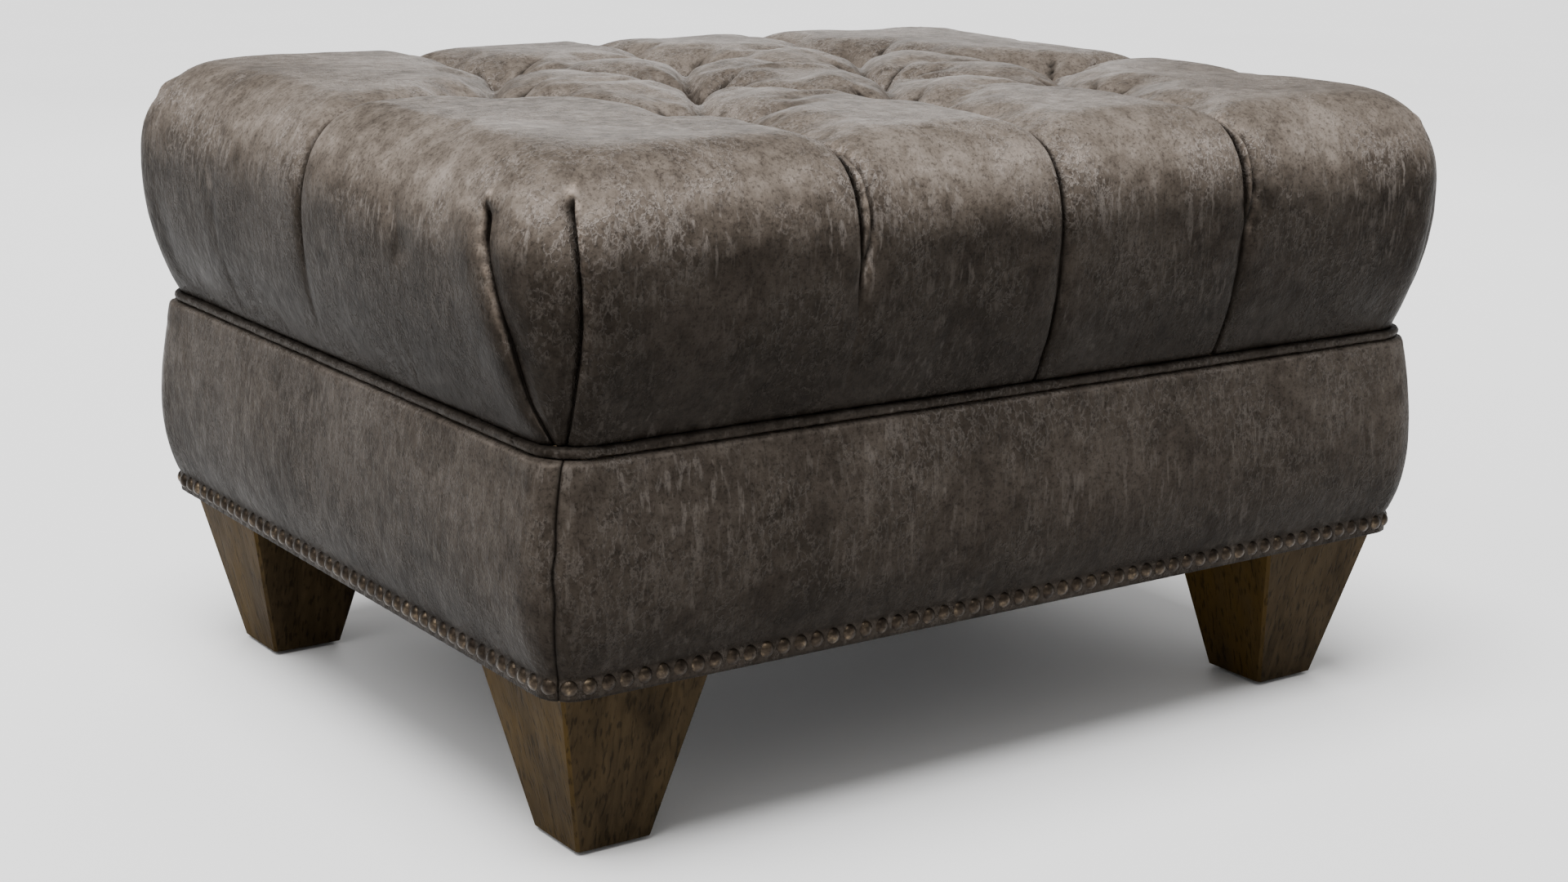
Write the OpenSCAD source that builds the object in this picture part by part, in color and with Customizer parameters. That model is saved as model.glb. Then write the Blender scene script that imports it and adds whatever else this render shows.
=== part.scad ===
// Tufted leather ottoman on four tapered wooden legs.
// The origin is on the floor under the middle of the ottoman. +X is its long side, -Y its front.

/* [Box] */
// Width of the leather band at the nail line, left to right
box_w = 742; // [700:1:840]
// Depth of the leather band at the nail line, front to back
box_d = 594; // [570:1:680]
// Radius of the upright corners at the nail line
box_r = 24; // [19:1:25]
// Thickness of the leather
leather_t = 2; // [1.2:0.1:2.4]
// How far the padded band swells past the nail line
band_bulge = 12.5; // [8:0.5:16]
// Diameter of the leather covered welt cord
welt_d = 6.5; // [5:0.1:7]
// Radius of the welt's upright corners, at the middle of the cord
welt_r = 30; // [27:1:36]

/* [Legs] */
// Height of a wooden leg
leg_h = 117; // [90:1:150]
// Side of the square top of a leg
leg_top = 110; // [96:1:116]
// Side of the square foot of a leg
leg_foot = 56; // [40:1:70]
// Width that is eased off each upright edge of a leg
leg_ease = 3; // [1:0.5:6]
// Distance from the nail line in to the middle of a leg
leg_inset = 68; // [64:1:74]
// Thickness of the nylon glide under a leg
glide_t = 3; // [2:0.5:5]
// Diameter of the glide
glide_d = 26; // [20:1:34]
// Diameter of the glide's pin
glide_pin_d = 3; // [2:0.2:4]
// Length of the glide's pin
glide_pin_l = 14; // [10:1:20]
// Diameter of the hanger bolt that holds a leg
bolt_d = 8; // [6:1:9]
// Depth of the hanger bolt in the leg
bolt_in_leg = 38; // [30:1:50]
// Outer diameter of the tee nut's barrel
tee_barrel_d = 10.5; // [10:0.1:11.5]
// Diameter of the tee nut's flange
tee_flange_d = 22; // [19:1:26]
// Thickness of the tee nut's flange
tee_flange_t = 1.6; // [1:0.1:2.4]

/* [Frame] */
// Height of the four frame rails
rail_h = 146.5; // [130:0.5:170]
// Thickness of the frame rails
rail_t = 25; // [22:1:28]
// Thickness of the plywood deck
deck_t = 12; // [10:1:15]
// Height of the two cross rails
cross_h = 90; // [70:1:105]
// Distance from the middle to a cross rail
cross_x = 123.75; // [118:0.25:128]
// Length of a corner block along each rail
block_l = 112; // [104:1:130]
// Thickness of a corner block
block_t = 28; // [26:1:36]
// Thickness of the cambric dust cover
dust_t = 0.8; // [0.5:0.1:1.5]
// Gap from the nail line in to the edge of the dust cover
dust_inset = 9; // [7:1:14]
// Diameter of the wood screws
screw_d = 4.5; // [4:0.1:5]
// Diameter of the screw heads
screw_head_d = 9; // [8:0.5:10]
// Height of the countersunk screw heads
screw_head_h = 3; // [2.5:0.1:3.5]
// Length of the screws that hold the blocks and the cross rails
frame_screw_l = 50; // [44:1:52]
// Length of the deck screws
deck_screw_l = 40; // [32:1:50]
// Greatest distance between two deck screws
deck_screw_pitch = 190; // [140:5:240]
// Width of the cardboard tack strip
strip_w = 14; // [10:1:18]
// Thickness of the tack strip
strip_t = 1.5; // [1:0.1:1.8]
// Width of a staple's crown
staple_w = 10; // [8:0.5:12]
// Thickness of the staple's wire
staple_t = 1; // [0.8:0.1:1.2]
// Length of a staple's legs
staple_l = 8; // [6:0.5:12]
// Greatest distance between two staples
staple_pitch = 62; // [50:1:90]

/* [Nails] */
// Diameter of a nail's domed head
nail_d = 11.1; // [9:0.1:11.8]
// Height of the dome
nail_dome = 3.4; // [2.4:0.1:4.2]
// Greatest distance between two nails
nail_pitch = 13.2; // [12.2:0.1:16]
// Height of the nail line above the lower edge of the frame
nail_rise = 9.2; // [8:0.1:12]
// Diameter of a nail's shank
shank_d = 1.8; // [1.4:0.1:2.4]
// Length of a nail's shank, through the leather and into the rail
shank_l = 15; // [12:1:18]

/* [Cushion] */
// Height of the cushion from the deck to its crown
cushion_h = 180; // [165:1:200]
// How far the cushion's sides swell past the nail line
bulge = 23; // [18:1:30]
// How far the cushion is drawn in at the welt, from the nail line
waist = 2; // [1:0.5:4]
// Height of the cushion's widest line above the deck
bulge_h = 107; // [95:1:118]
// Drop from the crown to the cushion's top edge
crown_drop = 7; // [4:0.5:12]
// Width of the rounded shoulder between the top edge and the widest line
shoulder_w = 53; // [46:1:60]
// Corner radius at the widest line
bulge_r = 58; // [50:1:66]
// Corner radius at the top edge
edge_r = 40; // [34:1:46]
// Thickness of the tufted cover over the fibre wrap at the sides
cover_side_t = 18; // [16:1:22]
// Height of the fibre wrap's top below the crown
cover_top_t = 59; // [57:1:66]
// Thickness of the fibre wrap round the foam
wrap_t = 9; // [6:0.5:12]

/* [Tufting] */
// Half the distance between two tufts in a row
tuft_x = 82.5; // [78:0.5:86]
// Distance between two rows of tufts
tuft_y = 143.5; // [135:0.5:150]
// Depth of a tuft below the cushion's crown
pit_depth = 50; // [40:1:52]
// Half the width of a tuft's flat floor
pit_rim = 13; // [12:0.5:15]
// Distance from a tuft at which the leather has risen to the crown
pit_reach = 45; // [38:1:52]
// Depth of the creases midway between two tufts
crease_depth = 14; // [8:1:20]
// Distance from a crease at which the leather has risen to the crown
crease_reach = 46; // [36:1:54]
// Length over which a crease deepens towards a tuft
crease_fade = 24; // [16:1:34]
// Depth of the edge pleats at the top edge
pleat_top = 15; // [8:1:16]
// Depth of the edge pleats at the widest line
pleat_side = 10; // [4:1:12]
// Depth of the edge pleats at the welt
pleat_low = 2.5; // [1:0.5:4]
// Depth of the two folds at each corner
fold_depth = 8; // [4:1:12]
// Drop from the crown to where the corner folds open
fold_drop = 27; // [20:1:40]
// Spread of the corner folds where they open
fold_spread = 66; // [50:1:72]
// Diameter of a covered button
button_d = 22; // [18:0.5:23]
// Height of a covered button
button_h = 8; // [6:0.5:11]
// Diameter of the tufting twine
twine_d = 2.4; // [1.6:0.1:3]
// Diameter of the fibre washer that anchors the twine
washer_d = 19; // [14:1:22]
// Thickness of that washer
washer_t = 2.5; // [1.5:0.5:4]

/* [Clearances] */
// Gap between soft pieces and what they lie on
soft_gap = 0.3; // [0.2:0.05:0.5]
// Gap all round in screw, bolt and nail holes
hole_gap = 0.1; // [0.05:0.05:0.2]
// Gap between the twine and its holes
twine_gap = 0.8; // [0.5:0.1:1.5]

/* [Hidden] */

$fn = 48;
// Smallest overlap that makes a cut pass right through a face
cut = 1;

// Heights, from the floor up
leg_top_z = glide_t + leg_h;
frame_z = leg_top_z + dust_t;
rail_top_z = frame_z + rail_h;
deck_top_z = rail_top_z + deck_t;
nail_z = frame_z + nail_rise;
crown_z = deck_top_z + cushion_h;
bulge_z = deck_top_z + bulge_h;
edge_z = crown_z - crown_drop;
cover_z = deck_top_z + soft_gap;
fold_z = crown_z - fold_drop;
wrap_top_z = crown_z - cover_top_t;
foam_top_z = wrap_top_z - wrap_t;
foam_r = bulge_r - wrap_t;
washer_z = rail_top_z - washer_t;

// The frame's outer and inner faces, measured from the middle
frame_x = box_w / 2 - leather_t;
frame_y = box_d / 2 - leather_t;
inner_x = frame_x - rail_t;
inner_y = frame_y - rail_t;
frame_r = box_r - leather_t;

// The welt lies against the deck's edge, and the band's top lip lies under it
welt_off = 1;
welt_x = box_w / 2 - welt_off;
welt_y = box_d / 2 - welt_off;
welt_z = deck_top_z - welt_d / 2;
deck_x = welt_x - welt_d / 2 - soft_gap;
deck_y = welt_y - welt_d / 2 - soft_gap;
deck_r = welt_r - welt_d / 2 - soft_gap;
lip_top_z = welt_z - welt_d / 2 - soft_gap;
lip_z = lip_top_z - leather_t;

// The band's swell starts just over the nail heads and peaks below its middle
swell_z = nail_z + nail_d / 2 + soft_gap;
swell_skew = 0.756;
swell_steps = 14;
band_low_z = frame_z + 0.8;
band_top = 3;
lip_round = 1.5;
swell_top_z = lip_top_z - lip_round;
lip_in = box_r + deck_x + soft_gap - box_w / 2;

leg_x = box_w / 2 - leg_inset;
leg_y = box_d / 2 - leg_inset;
bolt_up = block_t + tee_flange_t + 4;
tee_barrel_l = 12;

// Nails go round the corners two at a time, evenly spaced with those on the straight sides
corner_arc = box_r * PI / 2;
nail_end = (3 * nail_pitch - corner_arc) / 2;
nail_turn = (nail_pitch - nail_end) / box_r * 180 / PI;

// Tufts in the first quarter of the seat, and the creases that join them
tufts_quarter = [[tuft_x, 0], [3 * tuft_x, 0], [0, tuft_y], [2 * tuft_x, tuft_y]];
creases_quarter = [[0, 2], [0, 3], [1, 3]];
tufts = [for (x = [-3, -1, 1, 3]) [x * tuft_x, 0],
    for (x = [-2, 0, 2]) for (y = [-1, 1]) [x * tuft_x, y * tuft_y]];

// Mesh of the tufted cover: cells for each tuft spacing, rows in the shoulder and below it
cells = 4;
half = cells / 2;
rim_y = pit_rim * tuft_y / tuft_x;
pleats_x = [0, 2 * tuft_x];
pleat_reach = 36;
fold_reach = 22;
twine_sides = 24;
edge_x = box_w / 2 + bulge - shoulder_w;
edge_y = box_d / 2 + bulge - shoulder_w;
shoulder_rows = 3;
side_rows = 2;
side_power = 2.2;
shoulder_power = 2.2;
edge_blend = 4;

function clamp(v, lo, hi) = min(max(v, lo), hi);
function mix(a, b, t) = a + (b - a) * t;
function parts_of(len, pitch) = max(1, ceil(len / pitch));
// Sides are numbered front, right, back, left
function side_len(k) = k % 2 == 0 ? box_w : box_d;
function side_gap(k) = k % 2 == 0 ? box_d : box_w;

module rounded_rect(w, d, r) {
    square([w - 2 * r, d], center = true);
    square([w, d - 2 * r], center = true);
    for (x = [-1, 1], y = [-1, 1]) {
        translate([x * (w / 2 - r), y * (d / 2 - r)]) circle(r);
    }
}

module rounded_slab(w, d, r, h) {
    linear_extrude(h) rounded_rect(w, d, r);
}

// Sweeps a profile round a rounded rectangle. The profile's x is measured from the corner's centre.
module sweep_round(w, d, r) {
    for (k = [0:3]) {
        len = k % 2 == 0 ? w : d;
        gap = k % 2 == 0 ? d : w;
        rotate(90 * k) translate([len / 2 - r, r - gap / 2, 0]) {
            rotate(-90) rotate_extrude(angle = 90) children();
            rotate([90, 0, -90]) linear_extrude(len - 2 * r) children();
        }
    }
}

// Puts what is drawn in the first quarter into the corner with these signs
module to_corner(x, y) {
    mirror([x < 0 ? 1 : 0, 0, 0]) mirror([0, y < 0 ? 1 : 0, 0]) children();
}

module at_corners() {
    for (x = [-1, 1], y = [-1, 1]) to_corner(x, y) children();
}

// Legs and what fastens them

// A slab with two sloping sides, as wide as top above and as foot below
module taper_slab(top, foot, turn) {
    rotate([90, 0, turn]) linear_extrude(3 * leg_top, center = true)
        polygon([[-foot / 2, 0], [foot / 2, 0], [top / 2, leg_h], [-top / 2, leg_h]]);
}

module leg() {
    color("#3a2c1f") translate([leg_x, leg_y, glide_t]) difference() {
        intersection() {
            taper_slab(leg_top, leg_foot, 0);
            taper_slab(leg_top, leg_foot, 90);
            taper_slab(sqrt(2) * leg_top - leg_ease, sqrt(2) * leg_foot - leg_ease, 45);
            taper_slab(sqrt(2) * leg_top - leg_ease, sqrt(2) * leg_foot - leg_ease, 135);
        }
        translate([0, 0, leg_h - bolt_in_leg]) cylinder(h = bolt_in_leg + cut, d = bolt_d + 2 * hole_gap);
        translate([0, 0, -cut]) cylinder(h = glide_pin_l + cut, d = glide_pin_d + 2 * hole_gap);
    }
}

module leg_glides() {
    color("#26241f") at_corners() translate([leg_x, leg_y, 0]) {
        rotate_extrude() polygon([[0, 0], [glide_d / 2 - 1, 0], [glide_d / 2, 1], [glide_d / 2, glide_t],
            [0, glide_t]]);
        translate([0, 0, glide_t]) cylinder(h = glide_pin_l - 1, d = glide_pin_d);
    }
}

module hanger_bolts() {
    tip = 6;
    color("#b9bcc0") at_corners() translate([leg_x, leg_y, leg_top_z]) {
        translate([0, 0, tip - bolt_in_leg]) cylinder(h = bolt_in_leg - tip + dust_t + bolt_up, d = bolt_d);
        translate([0, 0, 1 - bolt_in_leg]) cylinder(h = tip - 1, d1 = 2, d2 = bolt_d);
    }
}

module tee_nuts() {
    color("#c9ccd0") at_corners() translate([leg_x, leg_y, frame_z + block_t]) difference() {
        union() {
            cylinder(h = tee_flange_t, d = tee_flange_d);
            translate([0, 0, -tee_barrel_l]) cylinder(h = tee_barrel_l, d = tee_barrel_d);
        }
        translate([0, 0, -tee_barrel_l - cut])
            cylinder(h = tee_barrel_l + tee_flange_t + 2 * cut, d = bolt_d + 2 * hole_gap);
    }
}

// Screws and nails, each with its head towards +Z and its seat at the origin

module screw(len, gap = 0) {
    tip = 5;
    translate([0, 0, -screw_head_h]) cylinder(h = screw_head_h, d1 = screw_d + 2 * gap, d2 = screw_head_d + 2 * gap);
    translate([0, 0, tip - len]) cylinder(h = len - tip, d = screw_d + 2 * gap);
    translate([0, 0, -len]) cylinder(h = tip, d1 = 1 + 2 * gap, d2 = screw_d + 2 * gap);
}

// The screw's hole, with an open bore over its head
module screw_hole(len, bore) {
    screw(len, hole_gap);
    translate([0, 0, -hole_gap]) cylinder(h = bore, d = screw_head_d + 2 * hole_gap);
}

module nail() {
    radius = (nail_d * nail_d / 4 + nail_dome * nail_dome) / (2 * nail_dome);
    tip = 4;
    intersection() {
        translate([0, 0, nail_dome - radius]) sphere(radius);
        cylinder(h = nail_dome + cut, d = nail_d + cut);
    }
    translate([0, 0, tip - shank_l]) cylinder(h = shank_l - tip + 0.5, d = shank_d);
    translate([0, 0, -shank_l]) cylinder(h = tip, d1 = 0.4, d2 = shank_d);
}

// Places along one side, or only at its ends, with +Z outwards, and the nearest places round its corners
module nail_places(k, ends = false) {
    len = side_len(k);
    gap = side_gap(k);
    run = len - 2 * box_r - 2 * nail_end;
    steps = parts_of(run, nail_pitch);
    rotate(90 * k) {
        for (i = ends ? [0, steps] : [0:steps]) {
            translate([run * (i / steps - 0.5), -gap / 2, nail_z]) rotate([90, 0, 0]) children();
        }
        for (s = [-1, 1]) {
            translate([s * (len / 2 - box_r), box_r - gap / 2, nail_z]) rotate(s * nail_turn)
                translate([0, -box_r, 0]) rotate([90, 0, 0]) children();
        }
    }
}

module nails(k) {
    color("#4a4038") nail_places(k) nail();
}

module nail_holes(k, ends = false) {
    nail_places(k, ends) translate([0, 0, -shank_l - hole_gap])
        cylinder(h = shank_l + cut, d = shank_d + 2 * hole_gap, $fn = 16);
}

// Frame

// Two screws through a corner block, one into each rail, drawn in the first quarter
module block_screw_places() {
    reach = 21;
    from_end = 14;
    z = frame_z + block_t - 9;
    translate([inner_x - block_l + from_end, inner_y + reach - frame_screw_l, z]) rotate([90, 0, 0]) children();
    translate([inner_x + reach - frame_screw_l, inner_y - block_l + from_end, z]) rotate([0, -90, 0]) children();
}

// Two screws through the front and the back rail into each end of each cross rail
module cross_screw_places() {
    edge = 22;
    for (x = [-1, 1], y = [-1, 1], z = [rail_top_z - edge, rail_top_z - cross_h + edge]) {
        translate([x * cross_x, y * frame_y, z]) rotate([-90 * y, 0, 0]) children();
    }
}

module deck_screw_places() {
    end = 50;
    for (k = [0:3]) {
        len = side_len(k) / 2 - leather_t - rail_t - end;
        steps = parts_of(2 * len, deck_screw_pitch);
        shift = k % 2;
        for (i = [0:steps - shift]) {
            rotate(90 * k) translate([len * (2 * (i + shift / 2) / steps - 1),
                leather_t + rail_t / 2 - side_gap(k) / 2, deck_top_z]) children();
        }
    }
}

module staple_places() {
    for (k = [0:3]) {
        len = side_len(k) / 2 - leg_inset - leg_top / 2 - staple_w;
        steps = parts_of(2 * len, staple_pitch);
        for (i = [0:steps]) {
            rotate(90 * k) translate([len * (2 * i / steps - 1), dust_inset + 7 - side_gap(k) / 2, leg_top_z])
                children();
        }
    }
}

module staple(gap = 0) {
    for (x = [-1, 1]) {
        translate([x * (staple_w - staple_t) / 2, 0, staple_l / 2])
            cube([staple_t + 2 * gap, staple_t + 2 * gap, staple_l + 2 * gap], center = true);
    }
    translate([0, 0, -staple_t / 2]) cube([staple_w + 2 * gap, staple_t + 2 * gap, staple_t], center = true);
}

// The part of the frame's outline that lies in a box from one corner to another
module rail_part(low, high) {
    intersection() {
        translate([0, 0, frame_z]) rounded_slab(2 * frame_x, 2 * frame_y, frame_r, rail_h);
        translate([low[0], low[1], frame_z]) cube([high[0] - low[0], high[1] - low[1], rail_h]);
    }
}

module drilled_rail(k) {
    color("#c8a878") difference() {
        children();
        nail_holes(k);
        at_corners() block_screw_places() screw(frame_screw_l, hole_gap);
        deck_screw_places() screw(deck_screw_l, hole_gap);
        staple_places() staple(hole_gap);
        if (k % 2 == 0) {
            // The long rails reach round the corners, so they take the end nails of the short sides too
            nail_holes(1, true);
            nail_holes(3, true);
            cross_screw_places() screw_hole(frame_screw_l, cut);
        }
    }
}

module front_rail() {
    drilled_rail(0) rail_part([-frame_x, -frame_y], [frame_x, -inner_y]);
}

module back_rail() {
    drilled_rail(2) rail_part([-frame_x, inner_y], [frame_x, frame_y]);
}

module left_rail() {
    drilled_rail(3) rail_part([-frame_x, -inner_y], [-inner_x, inner_y]);
}

module right_rail() {
    drilled_rail(1) rail_part([inner_x, -inner_y], [frame_x, inner_y]);
}

module cross_rail(side) {
    color("#c8a878") difference() {
        translate([side * cross_x - rail_t / 2, -inner_y, rail_top_z - cross_h])
            cube([rail_t, 2 * inner_y, cross_h]);
        cross_screw_places() screw(frame_screw_l, hole_gap);
    }
}

module corner_block() {
    blunt = 20;
    color("#b8935f") difference() {
        translate([inner_x, inner_y, frame_z]) linear_extrude(block_t)
            polygon([[0, 0], [-block_l, 0], [-block_l, -blunt], [-blunt, -block_l], [0, -block_l]]);
        block_screw_places() screw_hole(frame_screw_l, block_l);
        translate([leg_x, leg_y, frame_z - cut]) cylinder(h = block_t + 2 * cut, d = bolt_d + 1);
        translate([leg_x, leg_y, frame_z + block_t - tee_barrel_l - hole_gap])
            cylinder(h = tee_barrel_l + hole_gap + cut, d = tee_barrel_d + 2 * hole_gap);
    }
}

module frame_screws() {
    color("#9a8f70") {
        at_corners() block_screw_places() screw(frame_screw_l);
        cross_screw_places() screw(frame_screw_l);
    }
}

module deck_board() {
    color("#d3b88c") difference() {
        translate([0, 0, rail_top_z]) rounded_slab(2 * deck_x, 2 * deck_y, deck_r, deck_t);
        twine_holes(rail_top_z - cut, deck_top_z + cut);
        deck_screw_places() screw_hole(deck_screw_l, cut);
    }
}

module deck_screws() {
    color("#9a8f70") deck_screw_places() screw(deck_screw_l);
}

module dust_cover() {
    color("#1d1c1e") difference() {
        translate([0, 0, leg_top_z])
            rounded_slab(box_w - 2 * dust_inset, box_d - 2 * dust_inset, box_r - dust_inset, dust_t);
        at_corners() translate([leg_x, leg_y, leg_top_z - cut]) cylinder(h = dust_t + 2 * cut, d = bolt_d + 1);
        staple_places() staple(hole_gap);
    }
}

module dust_cover_staples() {
    color("#c4c6c9") staple_places() staple();
}

// Padded leather band, tack strip and welt

// How far the band swells past the nail line, from its lower end at 0 to its top at 1
function swell(q) = band_top * q + (band_bulge - band_top * 0.4) * sin(180 * pow(q, swell_skew));
function swell_at(i) = [box_r + swell(i / swell_steps), mix(swell_z, swell_top_z, i / swell_steps)];

module band_profile() {
    inner = box_r - leather_t;
    polygon(concat(
        [[inner, band_low_z], [box_r, band_low_z], [box_r, swell_z]],
        [for (i = [1:swell_steps]) swell_at(i)],
        [[box_r + band_top - lip_round, lip_top_z], [lip_in, lip_top_z], [lip_in, lip_z]],
        [[inner + band_top - lip_round, lip_z]],
        [for (i = [swell_steps - 1:-1:1]) swell_at(i) - [leather_t, 0]],
        [[inner, swell_z]]));
}

module padding_profile() {
    polygon(concat(
        [[frame_r + soft_gap, swell_at(1)[1]]],
        [for (i = [1:swell_steps - 2]) swell_at(i) - [leather_t + soft_gap, 0]],
        [[frame_r + soft_gap, swell_at(swell_steps - 2)[1]]]));
}

// The part of the band between the two corner seams of one side
module band(k) {
    color("#5c5450") difference() {
        intersection() {
            sweep_round(box_w, box_d, box_r) band_profile();
            rotate(90 * k) linear_extrude(crown_z) seam_wedge(side_len(k) / 2 - box_r, side_gap(k) / 2 - box_r);
        }
        nail_holes(k);
    }
}

module seam_wedge(x, y) {
    reach = 2 * box_r + band_bulge;
    polygon([[-x, -y], [-x - reach, -y - reach], [x + reach, -y - reach], [x, -y]]);
}

module band_padding() {
    color("#efeee9") sweep_round(box_w, box_d, box_r) padding_profile();
}

module tack_strip() {
    color("#b89f7a") sweep_round(box_w, box_d, box_r)
        translate([frame_r, lip_z - soft_gap - strip_w]) square([strip_t, strip_w]);
}

module welt_cord() {
    color("#4e4642") sweep_round(2 * welt_x, 2 * welt_y, welt_r) translate([welt_r, welt_z]) circle(d = welt_d);
}

// Cushion: foam core, fibre wrap, tufted cover

// Upright section of the foam or the wrap: sides drawn in below, edges cut off above
module block_section(width, inset, top) {
    edge = 12;
    steps = 3;
    high = min(bulge_z, top - edge);
    side = [for (i = [0:steps]) let(z = mix(deck_top_z, high, i / steps), q = (bulge_z - z) / bulge_h)
        [width / 2 + mix(bulge, -waist, pow(q, side_power)) - inset, z]];
    wide = width / 2 + bulge - inset;
    right = concat(side, [[wide, top - edge], [wide - edge, top]]);
    polygon(concat(right, [for (i = [len(right) - 1:-1:0]) [-right[i][0], right[i][1]]]));
}

module cushion_block(inset, top, r) {
    w = box_w + 2 * (bulge - inset);
    d = box_d + 2 * (bulge - inset);
    intersection() {
        rotate([90, 0, 0]) linear_extrude(d, center = true) block_section(box_w, inset, top);
        rotate([90, 0, 90]) linear_extrude(w, center = true) block_section(box_d, inset, top);
        translate([0, 0, deck_top_z]) rounded_slab(w, d, r, cushion_h);
    }
}

module twine_holes(low, high) {
    for (t = tufts) {
        translate([t[0], t[1], low]) cylinder(h = high - low, d = twine_d + 2 * twine_gap, $fn = twine_sides);
    }
}

module foam_core() {
    color("#f1e2a8") difference() {
        cushion_block(cover_side_t + wrap_t, foam_top_z, foam_r);
        twine_holes(deck_top_z - cut, wrap_top_z);
    }
}

module fibre_wrap() {
    color("#fbfbf8") difference() {
        cushion_block(cover_side_t, wrap_top_z, bulge_r);
        cushion_block(cover_side_t + wrap_t - soft_gap, foam_top_z + soft_gap, foam_r + soft_gap);
        twine_holes(deck_top_z, crown_z);
    }
}

module tufted_cover() {
    color("#6b625d") difference() {
        polyhedron(points = concat(seat_points, side_points), faces = concat(seat_faces, side_faces, [base_face]));
        cushion_block(cover_side_t - soft_gap, wrap_top_z + soft_gap, bulge_r - 8, $fn = 16);
        twine_holes(deck_top_z, crown_z, $fn = 6);
    }
}

module tuft_buttons() {
    base = 3;
    rise = button_h - base;
    radius = (button_d * button_d / 4 + rise * rise) / (2 * rise);
    color("#4e4642") for (t = tufts) {
        translate([t[0], t[1], button_z(t)]) {
            cylinder(h = base, d = button_d);
            intersection() {
                translate([0, 0, button_h - radius]) sphere(radius);
                translate([0, 0, base / 2]) cylinder(h = button_h, d = button_d);
            }
        }
    }
}

// Each length of twine ends in a knot that seats in the rim of its washer's hole
module tufting_twine() {
    knot = 5;
    drop = sqrt(knot * knot / 4 - pow(twine_d / 2 + hole_gap, 2));
    color("#d9cfb4") for (t = tufts) {
        translate([t[0], t[1], washer_z - drop]) {
            sphere(d = knot);
            cylinder(h = button_z(t) - washer_z + drop, d = twine_d);
        }
    }
}

module twine_washers() {
    color("#7c5a3c") for (t = tufts) {
        translate([t[0], t[1], washer_z]) difference() {
            cylinder(h = washer_t, d = washer_d);
            translate([0, 0, -cut]) cylinder(h = washer_t + 2 * cut, d = twine_d + 2 * hole_gap);
        }
    }
}

// Shape of the tufted cover
// It is a net of straight and curved lines over the seat, carried down the sides in level outlines.

// Height of a groove's wall, from 1 at the groove to 0 where the pillow is full
function pillow(q) = q >= 1 ? 0 : 1 - sqrt(max(0, 1 - (1 - q) * (1 - q)));

// Depth that a tuft, a crease between two tufts and a pleat that leaves a tuft take off the seat
function tuft_sag(p, t) = let(dx = max(abs(p[0] - t[0]) - pit_rim - 1, 0),
    dy = max(abs(p[1] - t[1]) - rim_y - 1, 0))
    pit_depth * pillow(norm([dx, dy]) / pit_reach);
function deepening(e, depth) = mix(depth, pit_depth, exp(-max(e - pit_rim, 0) / crease_fade));
function crease_sag(p, a, b) = let(len = norm(b - a), dir = (b - a) / len, t = clamp((p - a) * dir, 0, len))
    deepening(min(t, len - t), crease_depth) * pillow(norm(p - a - t * dir) / crease_reach);
function pleat_sag(off, run) = deepening(max(run, 0), pleat_top) * pillow(norm([off, min(run, 0)]) / pleat_reach);

function seat_sag(p) = let(q = [abs(p[0]), abs(p[1])]) max(concat(
    [for (t = tufts_quarter) tuft_sag(q, t)],
    [for (c = creases_quarter) crease_sag(q, tufts_quarter[c[0]], tufts_quarter[c[1]])],
    [for (x = pleats_x) pleat_sag(q[0] - x, q[1] - tuft_y)],
    [pleat_sag(q[1], q[0] - 3 * tuft_x)]));
function cover_height(p) = let(u = p[0] / edge_x, v = p[1] / edge_y)
    edge_z + crown_drop * (1 - min(u * u, 1)) * (1 - min(v * v, 1)) - seat_sag(p);
function button_z(t) = cover_height(t) + 2 * soft_gap;

// Level outlines from the top edge to the welt: swell, height, corner radius, lean and pleat depth
function shoulder_level(k) = let(f = 90 * k / shoulder_rows, s = pow(sin(f), 2 / shoulder_power),
    c = k == shoulder_rows ? 0 : pow(cos(f), 2 / shoulder_power))
    [bulge - shoulder_w * (1 - s), mix(bulge_z, edge_z, c), mix(edge_r, bulge_r, s), f,
        mix(pleat_top, pleat_side, pow(k / shoulder_rows, 2))];
function side_level(k) = let(q = k / side_rows, s = pow(q, side_power))
    [mix(bulge, -waist, s), mix(bulge_z, cover_z, q), mix(bulge_r, welt_r, s), 90, mix(pleat_side, pleat_low, q)];
levels = concat([for (k = [0:shoulder_rows]) shoulder_level(k)], [for (k = [1:side_rows]) side_level(k)]);

// Distance along the outline from a corner's middle to its two folds, at height z
function fold_open(z) = clamp((z - cover_z) / (fold_z - cover_z), 0, 1);
function long_fold(z) = mix(3, 0.12 * fold_spread, fold_open(z));
function short_fold(z) = mix(5, 0.88 * fold_spread, fold_open(z));

// Point of an outline of half sizes a and b, at distance s from its corner's middle, with its outward way
function outline(s, a, b, r) = let(q = r * PI / 4)
    s > q ? [a - r - s + q, b, 0, 1] :
    s < -q ? [a, b - r + s + q, 1, 0] :
    let(t = 45 - s / r * 180 / PI) [a - r + r * sin(t), b - r + r * cos(t), sin(t), cos(t)];

// Net lines at the tufts, beside them and midway
function tuft_line(i, step, rim) = floor(i / cells) * step + [0, rim, step / 2, step - rim][i % cells];

// Columns of one quarter, from the middle of a long side round the corner to the middle of a short side
columns = concat(
    [for (i = [0:3 * cells]) ["x", tuft_line(i, tuft_x, pit_rim)]],
    [["to arc", 1], ["to arc", 2]],
    [for (c = [half:-1:-half]) ["corner", c]],
    [["from arc", 2], ["from arc", 1]],
    [for (i = [cells:-1:0]) ["y", tuft_line(i, tuft_y, rim_y)]]);
nx = 3 * cells + half + 3;
ny = len(columns) - 1 - nx;

// Columns between the outermost tuft and a corner: one at the tuft's rim, one a third of the way on
function to_arc(rim, end, i) = i == 1 ? rim : mix(rim, end, 0.4);

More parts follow.
